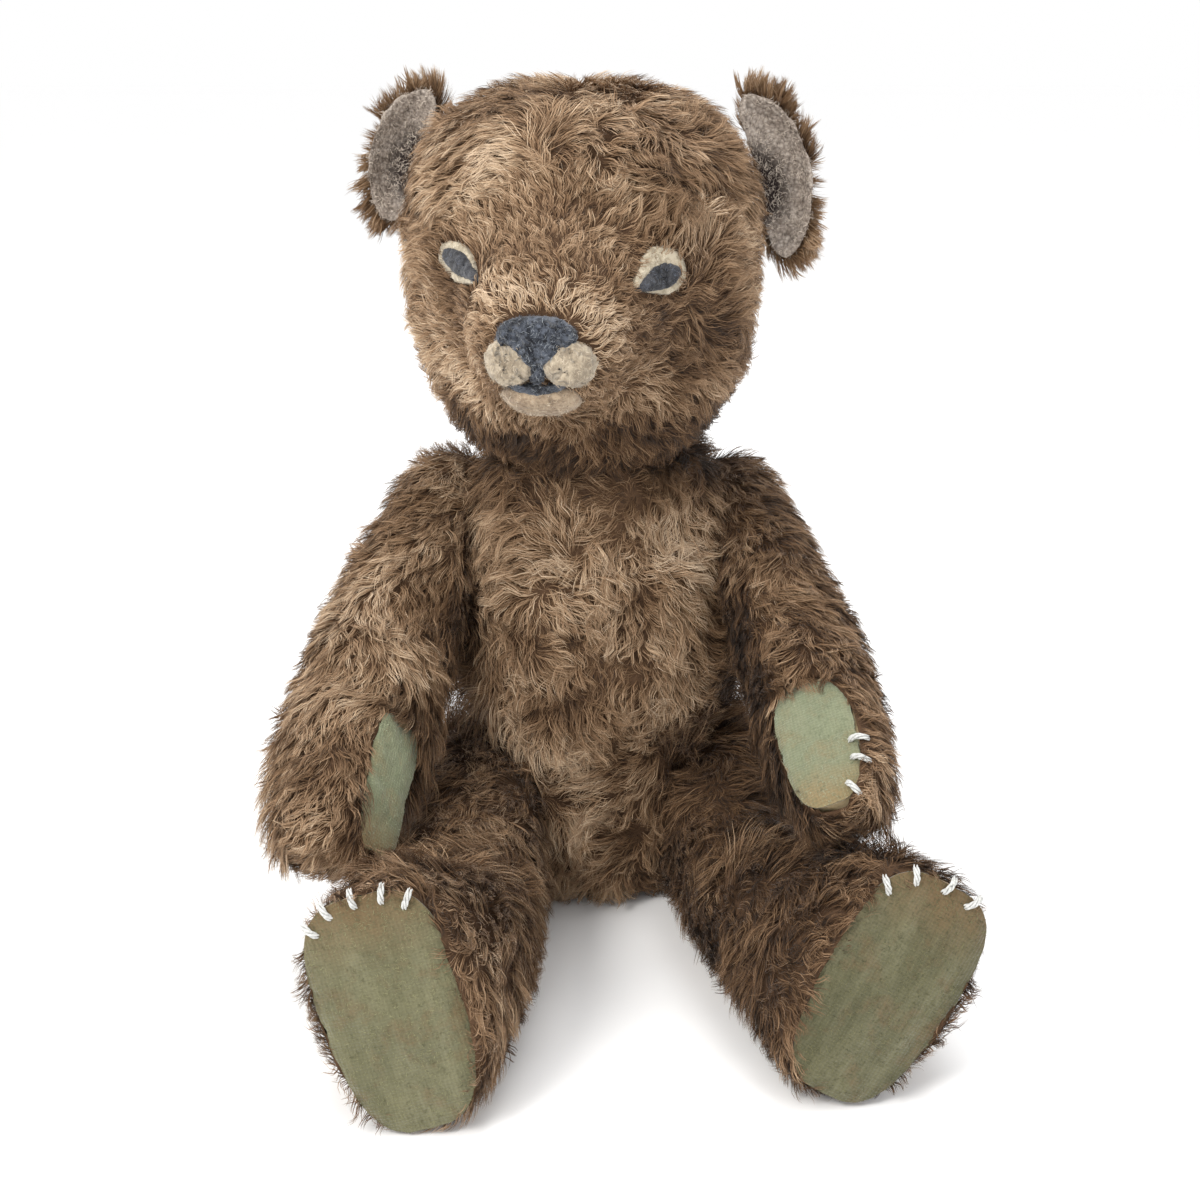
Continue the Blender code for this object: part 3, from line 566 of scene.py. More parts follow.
def scatter(mesh, triangles, area, count, rng):
    """Random places on the triangles, with smooth normals."""
    points, normals = vertex_array(mesh), vertex_array(mesh, "vector")
    pick = rng.choice(len(triangles), count, p=area / area.sum())
    a, b = rng.random(count), rng.random(count)
    flip = a + b > 1
    a[flip], b[flip] = 1 - a[flip], 1 - b[flip]
    weight = np.stack([1 - a - b, a, b], axis=1)[:, :, None]
    chosen = triangles[pick]
    return (points[chosen] * weight).sum(1), unit((normals[chosen] * weight).sum(1))


# ---------------- skins
STUFFED = ("torso", "head", "left_arm", "right_arm", "left_leg", "right_leg")
SKIN_MESHES, SKIN_FACES = {}, {}
SKIN_ROOM = 0.0018    # least distance from the stuffing to a skin's outer face


def keep_outside(points, normals, core):
    """Move a skin's outer points off its stuffing where they are in it or too close to it."""
    for index, (point, normal) in enumerate(zip(points, normals)):
        spot, out, _, _ = core.find_nearest(Vector(point), 0.012)
        if spot is None or out.dot(Vector(normal)) < 0.3:
            continue
        height = (Vector(point) - spot).dot(out)
        if height < SKIN_ROOM:
            points[index] += np.array(out) * (SKIN_ROOM - height)


def skins():
    """The stuffed skins: rounded, and dented and creased a little by the wood wool in them."""
    for body in STUFFED:
        mesh = refined(body + "_plush", 1)
        core = tree_of(NODES[body + "_stuffing"].data)
        points, normals = crumpled(mesh, (0.00035, 11, 0.022), (0.00015, 12, 0.009))
        keep_outside(points, normals, core)
        set_points(mesh, points)
        SKIN_MESHES[body] = mesh
        SKIN_FACES[body] = outer_faces(mesh, core)
        piece(body + "_skin", mesh, GROUND_WITH_SHADE, body, [body + "_plush"])


skins()
OTHERS = {body: tree_of(*(SKIN_MESHES[other] for other in STUFFED if other != body)) for body in STUFFED}


# ---------------- face
HEAD = Matrix.Translation((-0.006, -0.012, 0.235)) @ Matrix.Rotation(math.radians(-8), 4, "Z")
HEAD_MIDDLE = np.array(HEAD.translation)
HEAD_TURN = np.array(HEAD.to_3x3())
FACE_SKIN = SKIN_MESHES["head"].copy()
FACE_SKIN.transform(HEAD.inverted())
FACE_TREE = tree_of(FACE_SKIN)
FACE_MESHES = []


def ring_shares(rings):
    """The sizes of a patch's rings, from 1 at its edge, close together there, to 0 at its middle."""
    return [*np.sin(np.linspace(math.pi / 2, 0, rings + 1))[:-1], 0.0]


def rings_mesh(name, top, low, uv=None):
    """A closed mesh from two layers of rings (rings, segments, 3).  A layer's last ring is one point."""
    rings, segments = top.shape[0] - 1, top.shape[1]
    size = rings * segments + 1
    after = [(i, (i + 1) % segments) for i in range(segments)]
    faces = []
    for base, way in ((0, 1), (size, -1)):
        for a in range(base, base + (rings - 1) * segments, segments):
            b = a + segments
            faces += [(a + i, a + j, b + j, b + i)[::way] for i, j in after]
        last = base + (rings - 1) * segments
        faces += [(last + i, last + j, base + size - 1)[::way] for i, j in after]
    faces += [(j, i, size + i, size + j) for i, j in after]
    mesh = bpy.data.meshes.new(name)
    layers = [part for layer in (top, low) for part in (layer[:-1].reshape(-1, 3), layer[-1:, 0])]
    mesh.from_pydata(np.concatenate(layers).tolist(), [], faces)
    if uv is not None:
        index = np.empty(len(mesh.loops), np.int32)
        mesh.loops.foreach_get("vertex_index", index)
        layer = np.concatenate([uv[:-1].reshape(-1, 2), np.zeros((1, 2))])
        places = np.concatenate([layer, layer])[index]
        mesh.uv_layers.new(name="cloth").data.foreach_set("uv", places.astype(np.float32).ravel())
    faces_outward(mesh)
    mesh.shade_smooth()
    return mesh


def face_patch(name, spots, height, material, nodes=(), lift=0.0006, rings=12, shape=None, fullness=0.5):
    """A domed felt patch on the face.  Its outline is in the face's own X-Z plane, and the patch is laid
    over the skin in front of it.  shape(x, z) adds to its height."""
    spots = np.array(spots)
    middle = spots.mean(0)
    top, low = [], []
    for share in ring_shares(rings):
        top_ring, low_ring = [], []
        for x, z in middle + (spots - middle) * share:
            hit, normal, _, _ = FACE_TREE.ray_cast(Vector((x, -0.2, z)), Vector((0, 1, 0)))
            rise = height * (1 - share ** 2.4) ** fullness + 0.0003
            if shape:
                rise = max(0.0002, rise + shape(x, z))
            top_ring.append(HEAD @ (hit + normal * (lift + rise)))
            low_ring.append(HEAD @ (hit + normal * (lift - 0.0016)))
        top.append(top_ring)
        low.append(low_ring)
    mesh = rings_mesh(name, np.array(top), np.array(low))
    set_points(mesh, crumpled(mesh, (0.00010, 21, 0.0035), (0.00006, 22, 0.0014))[0])
    piece(name, mesh, material, "head", nodes)
    FACE_MESHES.append(mesh)
    return mesh


def turned(points, angle, middle):
    cos, sin = math.cos(angle), math.sin(angle)
    return [(middle[0] + x * cos - z * sin, middle[1] + x * sin + z * cos) for x, z in points]


def outline(count, spot):
    """Points round an outline: spot(cos, sin) at evenly spaced angles."""
    turns = [2 * math.pi * step / count for step in range(count)]
    return [spot(math.cos(turn), math.sin(turn)) for turn in turns]


def signed_power(value, power):
    return math.copysign(abs(value) ** power, value)


def oval(half_x, half_z, middle, angle=0.0, power=1.0):
    def spot(cos, sin):
        return half_x * signed_power(cos, power), half_z * signed_power(sin, power)

    return turned(outline(56, spot), angle, middle)


def almond(sign, half_x, above, below, middle, angle):
    """An eye's outline, drawn out to a point at its inner corner."""
    def spot(cos, sin):
        narrow = 1 - 0.50 * max(0.0, -cos) ** 1.5
        return sign * half_x * cos, (above if sin > 0 else below) * sin * narrow

    return turned(outline(56, spot), sign * angle, middle)


def fibres(name, body, meshes, count, length, width, materials, seed):
    """Loose fibres that stand a little off a felt or worn surface."""
    rng = np.random.default_rng(seed)
    places = []
    areas = [sum(face.area for face in mesh.polygons) for mesh in meshes]
    for mesh, mesh_area in zip(meshes, areas):
        triangles, _, cross = triangle_crosses(mesh)
        share = max(4, int(count * mesh_area / sum(areas)))
        places.append(scatter(mesh, triangles, 0.5 * np.linalg.norm(cross, axis=1), share, rng))
    roots, normals = (np.concatenate(found) for found in zip(*places))
    size = len(roots)
    comb = rng.normal(size=(size, 3))
    paths, shade = strand_paths(roots, normals, comb, length * rng.uniform(0.5, 1.3, size),
                                np.full(size, 0.30), np.full(size, 0.25 * length),
                                np.full(size, 0.5 * len(materials)), rng, 0.0030, 0.25)
    widths = width * rng.uniform(0.7, 1.3, size)
    piece(name, strands_mesh(name, paths, shade, normals, widths, rng, materials, 0.0), None, body)


# each eye's felt rim and its pupil: half width, height above and below the corner, middle
EYES = {"left": ((0.0072, 0.0082, 0.0074, (0.0322, 0.0022)), (0.0060, 0.0042, 0.0037, (0.0316, 0.0004))),
        "right": ((0.0094, 0.0064, 0.0052, (-0.0316, 0.0036)), (0.0082, 0.0038, 0.0028, (-0.0297, 0.0036)))}


def eyes():
    tilt = math.radians(22)
    for side, sign in SIDES.items():
        rim, pupil = EYES[side]
        rim = face_patch(f"{side}_eye_rim", almond(sign, *rim, tilt), 0.0014, EYE_CREAM,
                         [f"{side}_eye_rim_felt"], fullness=0.35)
        pupil = face_patch(f"{side}_pupil", almond(sign, *pupil, tilt), 0.0014, PUPIL_FELT,
                           [f"{side}_pupil_felt"], lift=0.0018)
        fibres(f"{side}_eye_rim_fibres", "head", [rim], 700, 0.0016, 0.00010,
               flat_shades(f"{side}_eye_fibre", (0.34, 0.28, 0.20), (0.50, 0.43, 0.32), (0.68, 0.61, 0.48)),
               31)
        fibres(f"{side}_pupil_fibres", "head", [pupil], 500, 0.0014, 0.00010,
               flat_shades(f"{side}_pupil_fibre", (0.02, 0.023, 0.03), (0.05, 0.056, 0.07),
                           (0.13, 0.145, 0.18)), 32)


# half widths and middles, across and in height, in the face's own plane
NOSE_WIDE, NOSE_ABOVE, NOSE_BELOW, NOSE_Z = 0.0118, 0.0062, 0.0088, -0.0128
NOSTRIL = (0.0052, -0.0135, 0.0021)    # across, height and size
MOUTH_WIDE, MOUTH_X, MOUTH_Z = 0.0122, -0.0012, -0.0252


def nose_spot(cos, sin):
    under = max(0.0, -sin)
    x = NOSE_WIDE * signed_power(cos, 0.85) * (1 - 0.42 * under)
    return x - 0.0010 * under, NOSE_Z + (NOSE_ABOVE if sin > 0 else NOSE_BELOW) * sin


def nostrils(x, z):
    """Two dimples, and a groove below them."""
    across, height, size = NOSTRIL
    dip = sum(math.exp(-((x - sign * across) ** 2 + (z - height) ** 2) / size ** 2) for sign in (1, -1))
    return -0.0026 * dip - 0.0012 * math.exp(-(x / 0.0016) ** 2) * (1 if z < -0.0145 else 0)


def mouth_spot(cos, sin):
    """A thin line that sags in its middle."""
    x = MOUTH_WIDE * cos
    sag, thick = 0.0038 * (1 - (x / MOUTH_WIDE) ** 2), 0.0016 * sin * (1 - 0.5 * abs(cos))
    return x + MOUTH_X, MOUTH_Z - sag + thick


def muzzle():
    dark = [face_patch("nose", outline(72, nose_spot), 0.0048, DARK_FELT, ["nose_felt"], lift=0.0010,
                       rings=18, shape=nostrils),
            face_patch("philtrum", oval(0.0026, 0.0046, (-0.0004, -0.0224)), 0.0022, DARK_FELT),
            face_patch("mouth", outline(64, mouth_spot), 0.0022, DARK_FELT, ["mouth_felt"])]
    lips = []
    for side, sign in SIDES.items():
        lobe = oval(0.0076, 0.0070, (0.0003 + sign * 0.0086, -0.0203), -sign * math.radians(20), 0.95)
        lips.append(face_patch(f"{side}_upper_lip", lobe, 0.0046, CREAM_FELT, [f"{side}_upper_lip_felt"],
                               fullness=0.6))
    lips.append(face_patch("lower_lip", oval(0.0122, 0.0050, (-0.0012, -0.0328), power=0.9), 0.0030,
                           TAN_FELT, ["lower_lip_felt"]))
    fibres("nose_fibres", "head", dark, 2600, 0.0019, 0.00011,
           flat_shades("nose_fibre", (0.012, 0.014, 0.019), (0.045, 0.052, 0.066), (0.13, 0.145, 0.17),
                       (0.30, 0.32, 0.34)), 33)
    fibres("lip_fibres", "head", lips, 3000, 0.0019, 0.00011,
           flat_shades("lip_fibre", (0.10, 0.085, 0.070), (0.34, 0.27, 0.19), (0.50, 0.41, 0.30),
                       (0.68, 0.58, 0.45)), 34)


eyes()
muzzle()


# ---------------- pads
def pad_plane(node, core):
    """Middle, across, up and outward directions of a flat CAD pad, and its outline as angle and radius."""
    points = np.unique(np.round(vertex_array(NODES[node].data), 6), axis=0)
    middle = points.mean(0)
    up, _, out = np.linalg.svd(points - middle)[2]
    up = up if up[2] >= 0 else -up
    out = out if (middle - core) @ out >= 0 else -out
    across = np.cross(up, out)
    face_level = ((points - middle) @ out).max()
    rim = points[(points - middle) @ out > face_level - 0.0003] - middle
    x, y = rim @ across, rim @ up
    angle = np.arctan2(y, x)
    order = np.argsort(angle)
    return middle + out * face_level, across, up, out, angle[order], np.hypot(x, y)[order]


PAD_TREES, PAD_FRAMES = {}, {}


def pad(node, body, material, dome, seed, grow_by, square):
    """A pad's cloth: domed, squared by a share of its radius, and puckered where it is sewn."""
    core = vertex_array(SKIN_MESHES[body]).mean(0)
    middle, across, up, out, angles, radii = PAD_FRAMES[node] = pad_plane(node, core)
    turn = np.linspace(-math.pi, math.pi, 144, endpoint=False)
    reach = np.interp(turn, angles, radii, period=2 * math.pi) * grow_by
    wide, tall = np.abs(reach * np.cos(turn)).max(), np.abs(reach * np.sin(turn)).max()
    corner = np.arctan2(np.sin(turn) / tall, np.cos(turn) / wide)
    reach *= 1 - square * np.cos(4 * corner)
    rng = np.random.default_rng(seed)
    pucker = sum(np.sin(turn * k + rng.uniform(0, 6.3)) for k in (31, 37, 43, 52)) / 2.4
    wave, fine = Waves(seed, 0.016), Waves(seed + 1, 0.006)
    top, low, uv = [], [], []
    for share in ring_shares(25):
        x, y = reach * np.cos(turn) * share, reach * np.sin(turn) * share
        place = middle + x[:, None] * across + y[:, None] * up
        edge = math.exp(-((1 - share) / 0.07) ** 2)
        rise = dome * (1 - share ** 2) ** 0.8 - 0.0006 * edge + 0.00016 * pucker * edge ** 0.4
        rise = rise + (0.00028 * wave(place) + 0.00010 * fine(place)) * (1 - edge)
        top.append(place + out * rise[:, None])
        low.append(place - out * 0.0011)
        uv.append(np.stack([x, y], axis=1))
    mesh = rings_mesh(node + "_cloth", np.array(top), np.array(low), np.array(uv))
    piece(mesh.name, mesh, material, body, [node])
    PAD_TREES[node] = tree_of(mesh)
    return mesh


# each sole's cloth, its worn parts, the shift of its pattern and the seed of its puckers; the right sole's
# lighter cloth is painted light
SOLES = {"left": ((0.105, 0.100, 0.051), (0.060, 0.060, 0.031), 1.0, 41),
         "right": ((0.148, 0.141, 0.076), (0.092, 0.091, 0.049), 5.0, 42)}
SOLE_STAIN = (0.160, 0.098, 0.047)
# the palms' cloth, worn parts, stain and nap; each one's brightness, the same two numbers, and squareness;
# the right palm's greater brightness is painted light
PALM_COLOURS = ((0.205, 0.228, 0.142), (0.165, 0.187, 0.113), (0.240, 0.172, 0.085), (0.30, 0.32, 0.22))
PALMS = {"left": (1.0, 2.0, 43, 0.05), "right": (1.5, 7.0, 44, 0.13)}


def times(share, *colours):
    return [tuple(share * value for value in colour) for colour in colours]


def pads():
    for side in SIDES:
        base, deep, shift, seed = SOLES[side]
        sole = velveteen_material(f"{side}_sole_velveteen", 0.012, 0.040, shift, base, deep, SOLE_STAIN)
        cloth = pad(f"{side}_foot_pad", f"{side}_leg", sole, 0.0022, seed, 1.02, 0.02)
        fibres(f"{side}_foot_pad_nap", f"{side}_leg", [cloth], 9000, 0.0011, 0.00013,
               flat_shades(f"{side}_sole_nap", deep, base, *times(1.6, base)), 45)
        light, shift, seed, square = PALMS[side]
        base, deep, stain, nap = times(light, *PALM_COLOURS)
        palm = velveteen_material(f"{side}_palm_velveteen", -0.004, -0.026, shift, base, deep, stain)
        cloth = pad(f"{side}_paw_pad", f"{side}_arm", palm, 0.0014, seed, 1.0, square)
        fibres(f"{side}_paw_pad_nap", f"{side}_arm", [cloth], 3600, 0.0010, 0.00012,
               flat_shades(f"{side}_palm_nap", deep, base, nap), 46)


pads()


# ---------------- ears
EAR_TREES = {}


def box_middle(node):
    low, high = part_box(node)
    return 0.5 * (np.array(low) + np.array(high))


def ear_cloth(node, material):
    mesh = refined(node, 2)
    set_points(mesh, crumpled(mesh, (0.0003, 51, 0.007))[0])
    piece(node + "_cloth", mesh, material, "head", [node])
    return mesh


def ear_lining(side):
    node = f"{side}_ear_lining"
    middle = box_middle(node)
    inward = HEAD_MIDDLE - middle
    inward[1] = 0
    hollow = middle + unit(inward) * 0.011
    hollow[1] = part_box(node)[1].y - 0.003
    mesh = ear_cloth(node, worn_backing_material(node, tuple(hollow)))
    EAR_TREES[side] = tree_of(mesh)
    fibres(f"{side}_ear_stubble", "head", [mesh], 3600, 0.0022, 0.00016,
           flat_shades(f"{side}_ear_stubble", (0.09, 0.070, 0.058), (0.25, 0.207, 0.170),
                       (0.40, 0.34, 0.285), (0.58, 0.50, 0.42)), 50)


def ear_back(side):
    node = f"{side}_ear_back"
    mesh = ear_cloth(node, GROUND_WITH_SHADE)
    rng = np.random.default_rng(52)
    triangles, area = outer_faces(mesh, EAR_TREES[side])
    count = int(9500 * DENSITY)
    roots, normals = scatter(mesh, triangles, area, count, rng)
    rim = unit(roots - box_middle(node))
    waves = np.stack([Waves(53 + axis, 0.014)(roots) for axis in range(3)], axis=1)
    field = {"comb": unit(roots - HEAD_MIDDLE) * 0.6 + rim * 0.9 + 0.28 * waves,
             "length": 0.0110 * rng.uniform(0.7, 1.15, count), "lift": np.full(count, 0.40),
             "curl": np.full(count, 0.0004), "tone": 3.7 + 0.5 * Waves(57, 0.012)(roots)}
    grow(f"{side}_ear_pile", "head", roots, normals, field, 58, lock=0.0022, hold=0.7)


for ear_side in SIDES:
    ear_lining(ear_side)
    ear_back(ear_side)


# ---------------- the coat of each stuffed body
def away_from(points, normals, trees, reach, field, shortest, push):
    """Turn the pile away from pads or felt pieces and trim it there.  Gives the distance to them."""
    distance, spots = nearest_of(points, trees, reach)
    share = 1 - smooth(0, reach, distance)
    way = points - spots
    way -= normals * (way * normals).sum(1, keepdims=True)
    field["comb"] = unit(field["comb"]) * (1 - 0.6 * share)[:, None] + push * unit(way) * share[:, None]
    field["length"] *= 1 - (1 - shortest) * share
    return distance


def fit_to_room(body, points, normals, field):
    """Lay the pile down where another body or the floor is close, and tell which strands have room."""
    free = clearance(points + normals * 0.0002, normals, OTHERS[body], 0.02)
    down = np.maximum(-normals[:, 2], 1e-3)
    free = np.minimum(free, points[:, 2] / down)
    field["lift"] *= np.clip(free / 0.010, 0.12, 1)
    field["length"] *= np.clip(0.30 + free / 0.012, 0.35, 1)
    return free > 0.0009


def swirled(comb, points, seed, *waves):
    """A comb direction turned by waves of (strength, size)."""
    for index, (strength, size) in enumerate(waves):
        comb = comb + strength * Waves(seed + index, size, width=3)(points)
    return comb


def pile_field(points, rng, comb, length, lift, curl, tone):
    """What every strand is grown from.  lift is (middle, change, seed)."""
    middle, change, seed = lift
    return {"comb": comb, "length": length * rng.uniform(0.75, 1.12, len(points)),
            "lift": middle + change * Waves(seed, 0.020)(points), "curl": np.full(len(points), curl),
            "tone": tone}


def tone_noise(seed, points):
    return 0.65 * Waves(seed, 0.036)(points) + 0.45 * Waves(seed + 1, 0.014)(points)


# across, height, size and change of tone: the light bridge of the nose, and the dark of the brow
FACE_TONES = ((0.001, -0.001, 0.011, 1.0), (0.004, 0.017, 0.010, -1.8), (-0.006, 0.040, 0.011, -1.3),
              (0.020, 0.008, 0.007, -1.1), (-0.034, -0.006, 0.008, -1.1), (0.036, 0.034, 0.010, -1.3),
              (0.016, 0.028, 0.006, 0.7), (-0.022, 0.030, 0.008, 0.5), (0.030, -0.018, 0.012, -0.8))


def head_field(points, normals, rng):
    local = (points - HEAD_MIDDLE) @ HEAD_TURN
    outward = unit(local)
    muzzle = np.array([0.0, -0.985, -0.174])
    along = outward @ muzzle
    angle = np.degrees(np.arccos(np.clip(along, -1, 1)))
    away = unit(-(muzzle - along[:, None] * outward) @ HEAD_TURN.T)
    side = np.sign(local[:, 0])[:, None] * HEAD_TURN[:, 0]
    crown = (smooth(0.010, 0.034, local[:, 2]) * smooth(28, 58, angle))[:, None]
    comb = (crown * (-UP + 0.55 * side)
            + (1 - crown) * (away * 1.1 - 0.40 * UP * smooth(30, 70, angle)[:, None]))
    comb = swirled(comb, points, 61, (0.55, 0.034), (0.25, 0.013))
    tone = 4.5 + 1.25 * tone_noise(64, points) - 0.5 * smooth(0.0, 0.05, -local[:, 2])
    # painted shadow: a dark band under the chin and jaw, where the head meets the torso
    tone -= 3.2 * smooth(0.041, 0.054, -local[:, 2] + 0.10 * local[:, 0])
    # painted shade: the bear's left side of the head is darker, away from the key light
    tone -= 0.9 * smooth(0.010, 0.050, local[:, 0])
    for x, z, size, change in FACE_TONES:
        gap = np.hypot(local[:, 0] - x, local[:, 2] - z)
        tone += change * np.exp(-(gap / size) ** 2) * (local[:, 1] < 0)
    field = pile_field(points, rng, comb, 0.0100 * (0.50 + 0.50 * smooth(18, 52, angle)), (0.50, 0.16, 63),
                       0.0009, tone)
    trees = [tree_of(mesh) for mesh in FACE_MESHES]
    close = away_from(points, normals, trees, 0.0035, field, shortest=0.80, push=0.25)
    # painted shade in the crease round the root of each ear
    ear_distance, _ = nearest_of(points, list(EAR_TREES.values()), 0.006)
    field["tone"] -= 1.2 * (1 - smooth(0.0, 0.006, ear_distance))
    return field, close > 0.0007


SEAM_X = 0.012    # the torso's front seam, off its middle
# short partings in the torso's pile, each from one (x, z) to another
PARTINGS = (((-0.036, 0.114), (-0.012, 0.109)), ((-0.010, 0.108), (0.010, 0.100)),
            ((0.002, 0.150), (0.018, 0.140)), ((0.036, 0.088), (0.052, 0.070)),
            ((-0.020, 0.085), (-0.002, 0.094)))


def torso_field(points, normals, rng):
    front = smooth(-0.1, 0.5, -normals[:, 1])
    seam = points[:, 0] - SEAM_X - 0.003 * np.sin(points[:, 2] * 70)
    side = np.sign(seam)[:, None] * np.array([1.0, 0, 0])
    near_seam = np.exp(-(seam / 0.006) ** 2) * front
    comb = swirled(-UP * 0.9 + side * (0.15 + 0.9 * near_seam[:, None]), points, 71, (0.95, 0.046),
                   (0.55, 0.020))
    # darker along the seam where the pile parts; darker on the bear's left side as painted shade
    tone = 4.5 + 1.2 * tone_noise(73, points) - 0.9 * near_seam - 0.5 * smooth(0.03, 0.05, points[:, 0])
    # painted shadow at the top of the torso, under the chin
    tone -= 2.6 * smooth(0.150, 0.164, points[:, 2])
    field = pile_field(points, rng, comb, 0.0128, (0.50, 0.20, 74), 0.0016, tone)
    field["length"] *= 1 - 0.40 * near_seam
    for start, end in np.array(PARTINGS):
        run = end - start
        flat = points[:, [0, 2]] - start
        share = np.clip(flat @ run / (run @ run), 0, 1)
        gap = np.linalg.norm(flat - share[:, None] * run, axis=1)
        close = np.exp(-(gap / 0.0045) ** 2) * front
        field["length"] *= 1 - 0.45 * close
        field["tone"] -= 1.3 * close
    return field, np.ones(len(points), bool)


def clear_of_pad(pad_name, points, normals, field, push):
    close = away_from(points, normals, [PAD_TREES[pad_name]], 0.004, field, shortest=0.75, push=push)
    return field, close > 0.0003


# each limb's tone; the left limbs' lower tones are painted shade on the bear's left side
LIMB_TONES_WITH_SHADE = {"left_arm": 2.7, "right_arm": 4.3, "left_leg": 2.5, "right_leg": 3.8}


def arm_field(side, points, normals, rng):
    shoulder = np.array(JOINTS[f"{side}_shoulder_turn"]["pos_m"])
    palm, _, _, out, _, _ = PAD_FRAMES[f"{side}_paw_pad"]
    along = unit(palm - out * 0.015 - shoulder)
    outward = np.array([SIDES[side], 0.0, 0.0])
    reach = (points - shoulder) @ along
    comb = along * 1.0 - 0.25 * UP + outward * 0.30 * smooth(0.05, 0.12, reach)[:, None]
    field = pile_field(points, rng, swirled(comb, points, 81, (0.42, 0.040), (0.28, 0.016)), 0.0112,
                       (0.44, 0.15, 83), 0.0010, LIMB_TONES_WITH_SHADE[f"{side}_arm"] + tone_noise(84, points))
    field["length"] *= 1 - 0.25 * smooth(0.09, 0.14, reach)
    return clear_of_pad(f"{side}_paw_pad", points, normals, field, 0.35)


def leg_field(side, points, normals, rng):
    hip = np.array(JOINTS[f"{side}_hip_turn"]["pos_m"])
    along = unit(PAD_FRAMES[f"{side}_foot_pad"][0] - hip)
    reach = (points - hip) @ along
    comb = along * 0.9 - 0.35 * UP * (1 - smooth(0.12, 0.17, reach))[:, None]
    tone = LIMB_TONES_WITH_SHADE[f"{side}_leg"] + tone_noise(93, points) - 0.5 * smooth(0.09, 0.15, reach)
    field = pile_field(points, rng, swirled(comb, points, 91, (0.60, 0.046), (0.40, 0.018)), 0.0118,
                       (0.46, 0.16, 94), 0.0012, tone)
    field["length"] *= 1 - 0.22 * smooth(0.155, 0.178, reach)
    field["length"] *= (1 + 0.40 * smooth(0.5, 0.8, normals[:, 2]) * smooth(0.08, 0.11, reach)
                        * (1 - smooth(0.15, 0.17, reach)))
    return clear_of_pad(f"{side}_foot_pad", points, normals, field, 0.30)


def fill_waist(body, points, normals, field):
    """Longer pile where the arms and the torso face each other, darkened there by painted shade between them.
    """
    above_lap = smooth(0.035, 0.050, points[:, 2])
    waist = smooth(0.6, 0.9, np.abs(normals[:, 0])) * above_lap * (1 - smooth(0.075, 0.095, points[:, 2]))
    field["length"] *= 1 + 0.9 * waist
    field["lift"] = np.maximum(field["lift"], 0.55 * waist)
    # painted shade on the sides where arm and torso face each other, between the lap and the shoulders
    inward = np.abs(normals[:, 0]) if body == "torso" else SIDES[body.split("_")[0]] * -normals[:, 0]
    shade = smooth(0.45, 0.90, inward) * above_lap
    field["tone"] -= 1.7 * shade * (1 - smooth(0.130, 0.150, points[:, 2]))


def fill_lap(points, normals, field):
    """Longer pile on top of the thighs, in the crease at the belly."""
    lap = smooth(0.3, 0.8, normals[:, 2]) * (1 - smooth(0.025, 0.060, np.abs(points[:, 1])))
    lap *= smooth(0.025, 0.040, np.abs(points[:, 0]))
    field["length"] *= 1 + 0.6 * lap
    field["lift"] = np.maximum(field["lift"], 0.65 * lap)


STRANDS = {"torso": 70000, "head": 84000, "left_arm": 33000, "right_arm": 35000, "left_leg": 40000,
           "right_leg": 40000}


def coats():
    for index, body in enumerate(STUFFED):
        rng = np.random.default_rng(100 + index)
        triangles, area = SKIN_FACES[body]
        roots, normals = scatter(SKIN_MESHES[body], triangles, area, int(STRANDS[body] * DENSITY), rng)
        if body == "torso":
            field, keep = torso_field(roots, normals, rng)
        elif body == "head":
            field, keep = head_field(roots, normals, rng)
        else:
            side, limb = body.split("_")
            field, keep = (arm_field if limb == "arm" else leg_field)(side, roots, normals, rng)
        keep &= fit_to_room(body, roots, normals, field)
        if body.endswith("_leg"):
            fill_lap(roots, normals, field)
        elif body != "head":
            fill_waist(body, roots, normals, field)
        field = {key: values[keep] for key, values in field.items()}
        grow(f"{body}_pile", body, roots[keep], normals[keep], field, 200 + index,
             lock=0.0021 if body == "head" else 0.0026)


coats()


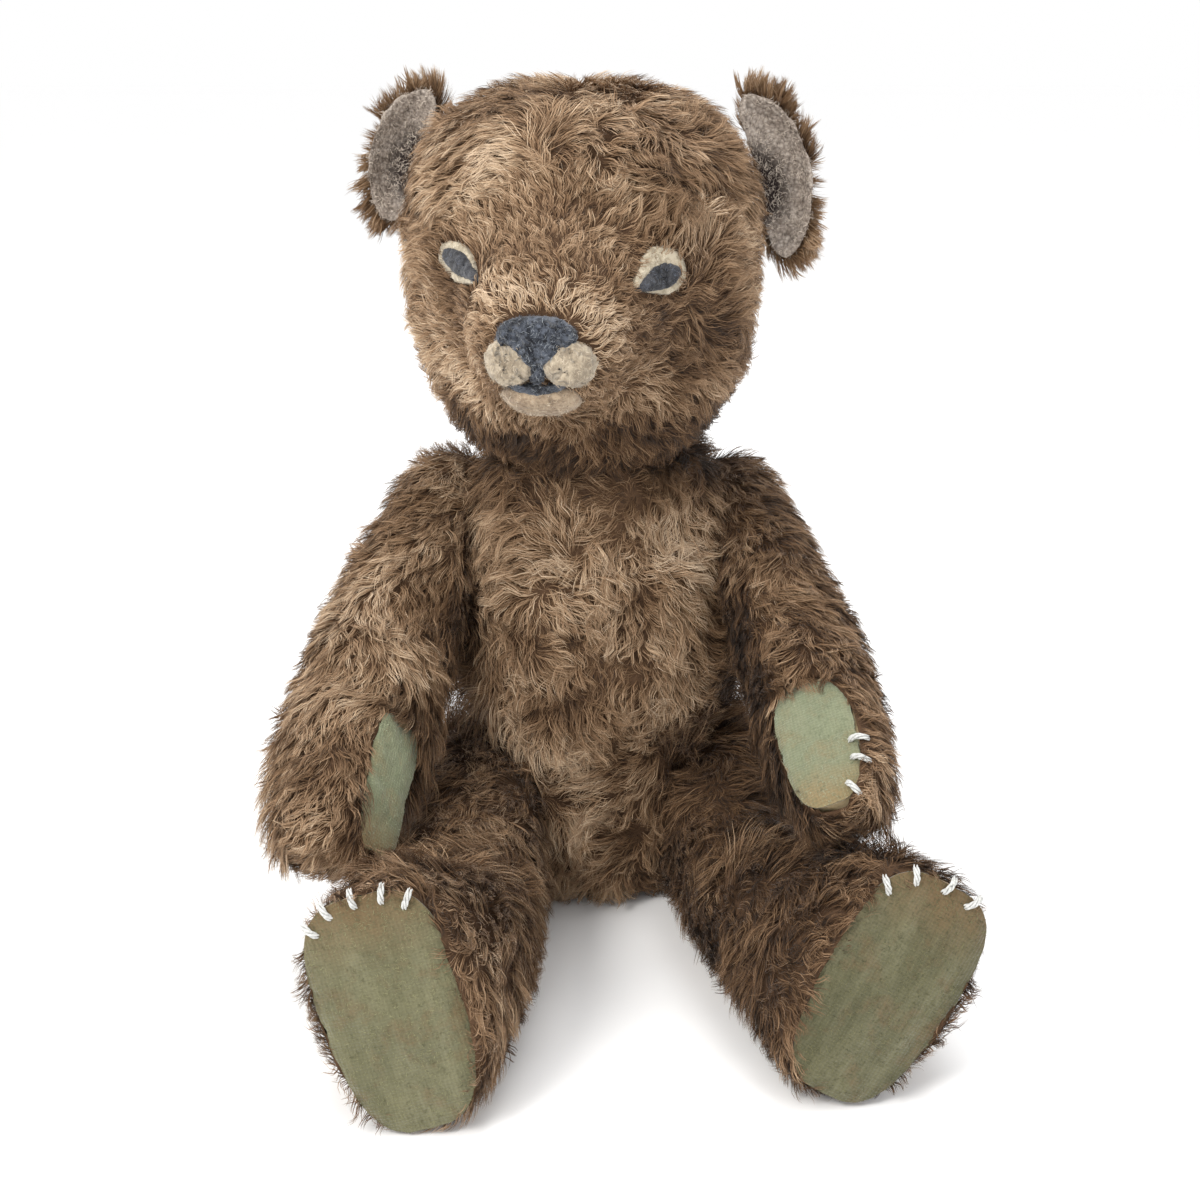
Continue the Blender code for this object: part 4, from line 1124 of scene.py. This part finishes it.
# ---------------- repair stitches
def tube(name, paths, radius, body, nodes, sides=7):
    """Closed round threads with tapered ends, one per path, as one mesh."""
    points, faces = [], []
    for path in paths:
        path = np.asarray(path, float)
        count = len(path)
        way = unit(np.gradient(path, axis=0))
        flat = unit(np.cross(way, np.array([0.31, 0.52, 0.79])))
        rise = np.cross(flat, way)
        base = len(points)
        for index in range(count):
            size = radius * min(1.0, 0.35 + 1.3 * min(index, count - 1 - index) / max(1, count * 0.25))
            for step in range(sides):
                turn = 2 * math.pi * step / sides
                points.append(tuple(path[index] + size * (flat[index] * math.cos(turn)
                                                          + rise[index] * math.sin(turn))))
        for index in range(count - 1):
            a, b = base + index * sides, base + (index + 1) * sides
            faces += [(a + i, a + (i + 1) % sides, b + (i + 1) % sides, b + i) for i in range(sides)]
        faces.append(tuple(range(base + sides - 1, base - 1, -1)))
        last = base + (count - 1) * sides
        faces.append(tuple(range(last, last + sides)))
    mesh = bpy.data.meshes.new(name)
    mesh.from_pydata(points, [], faces)
    faces_outward(mesh)
    mesh.shade_smooth()
    piece(name, mesh, THREAD, body, nodes)


def twisted(start, end, out, strands=4):
    """Paths of one thick stitch: a few strands of thread twisted round one arched line."""
    paths = []
    run = end - start
    across = unit(np.cross(run, out))
    for strand in range(strands):
        path = []
        for share in (step / 14 for step in range(15)):
            turn = 2 * math.pi * (0.7 * share + strand / strands)
            arch = math.sin(math.pi * share)
            spot = start + run * share + out * (0.0011 * arch - 0.0008 * (1 - arch))
            path.append(spot + 0.00062 * (across * math.cos(turn) + out * math.sin(turn)))
        paths.append(path)
    return paths


# each mended edge: how far its stitches reach inside and outside of it, and the angle from the pad's
# right-hand side and the slant of each stitch
REPAIRS = {"right_foot": (0.0032, 0.0030, ((116, 2), (105, 1), (92, 0), (79, -1), (68, -2))),
           "left_foot": (0.0032, 0.0030, ((121, 2), (107, 2), (92, -2), (78, -3))),
           "left_paw": (0.0034, 0.0032, ((-26, 5), (-52, 6), (-74, 3)))}


def repairs():
    """Overcast stitches over the edges of the pads."""
    for name, (inside, outside, places) in REPAIRS.items():
        middle, across, up, out, angles, radii = PAD_FRAMES[name + "_pad"]
        paths = []
        for angle, slant in places:
            turn, end_turn = math.radians(angle), math.radians(angle) + math.radians(slant)
            reach = float(np.interp(turn, angles, radii, period=2 * math.pi))
            first = across * math.cos(turn) + up * math.sin(turn)
            second = across * math.cos(end_turn) + up * math.sin(end_turn)
            paths += twisted(middle + first * (reach - inside) + out * 0.0008,
                             middle + second * (reach + outside) + out * 0.0004, out)
        body = name.replace("foot", "leg").replace("paw", "arm")
        tube(f"{name}_pad_stitches", paths, 0.00040, body, [f"{name}_repair_thread"])


repairs()


# ---------------- inside pieces
INNER = {"_stuffing": WOOD_WOOL, "_disc": CARD, "_board": CARD, "_washer": STEEL, "_pin": STEEL}


for name, node in NODES.items():
    for ending, made in INNER.items():
        if name.endswith(ending):
            node.data.materials.clear()
            node.data.materials.append(made)
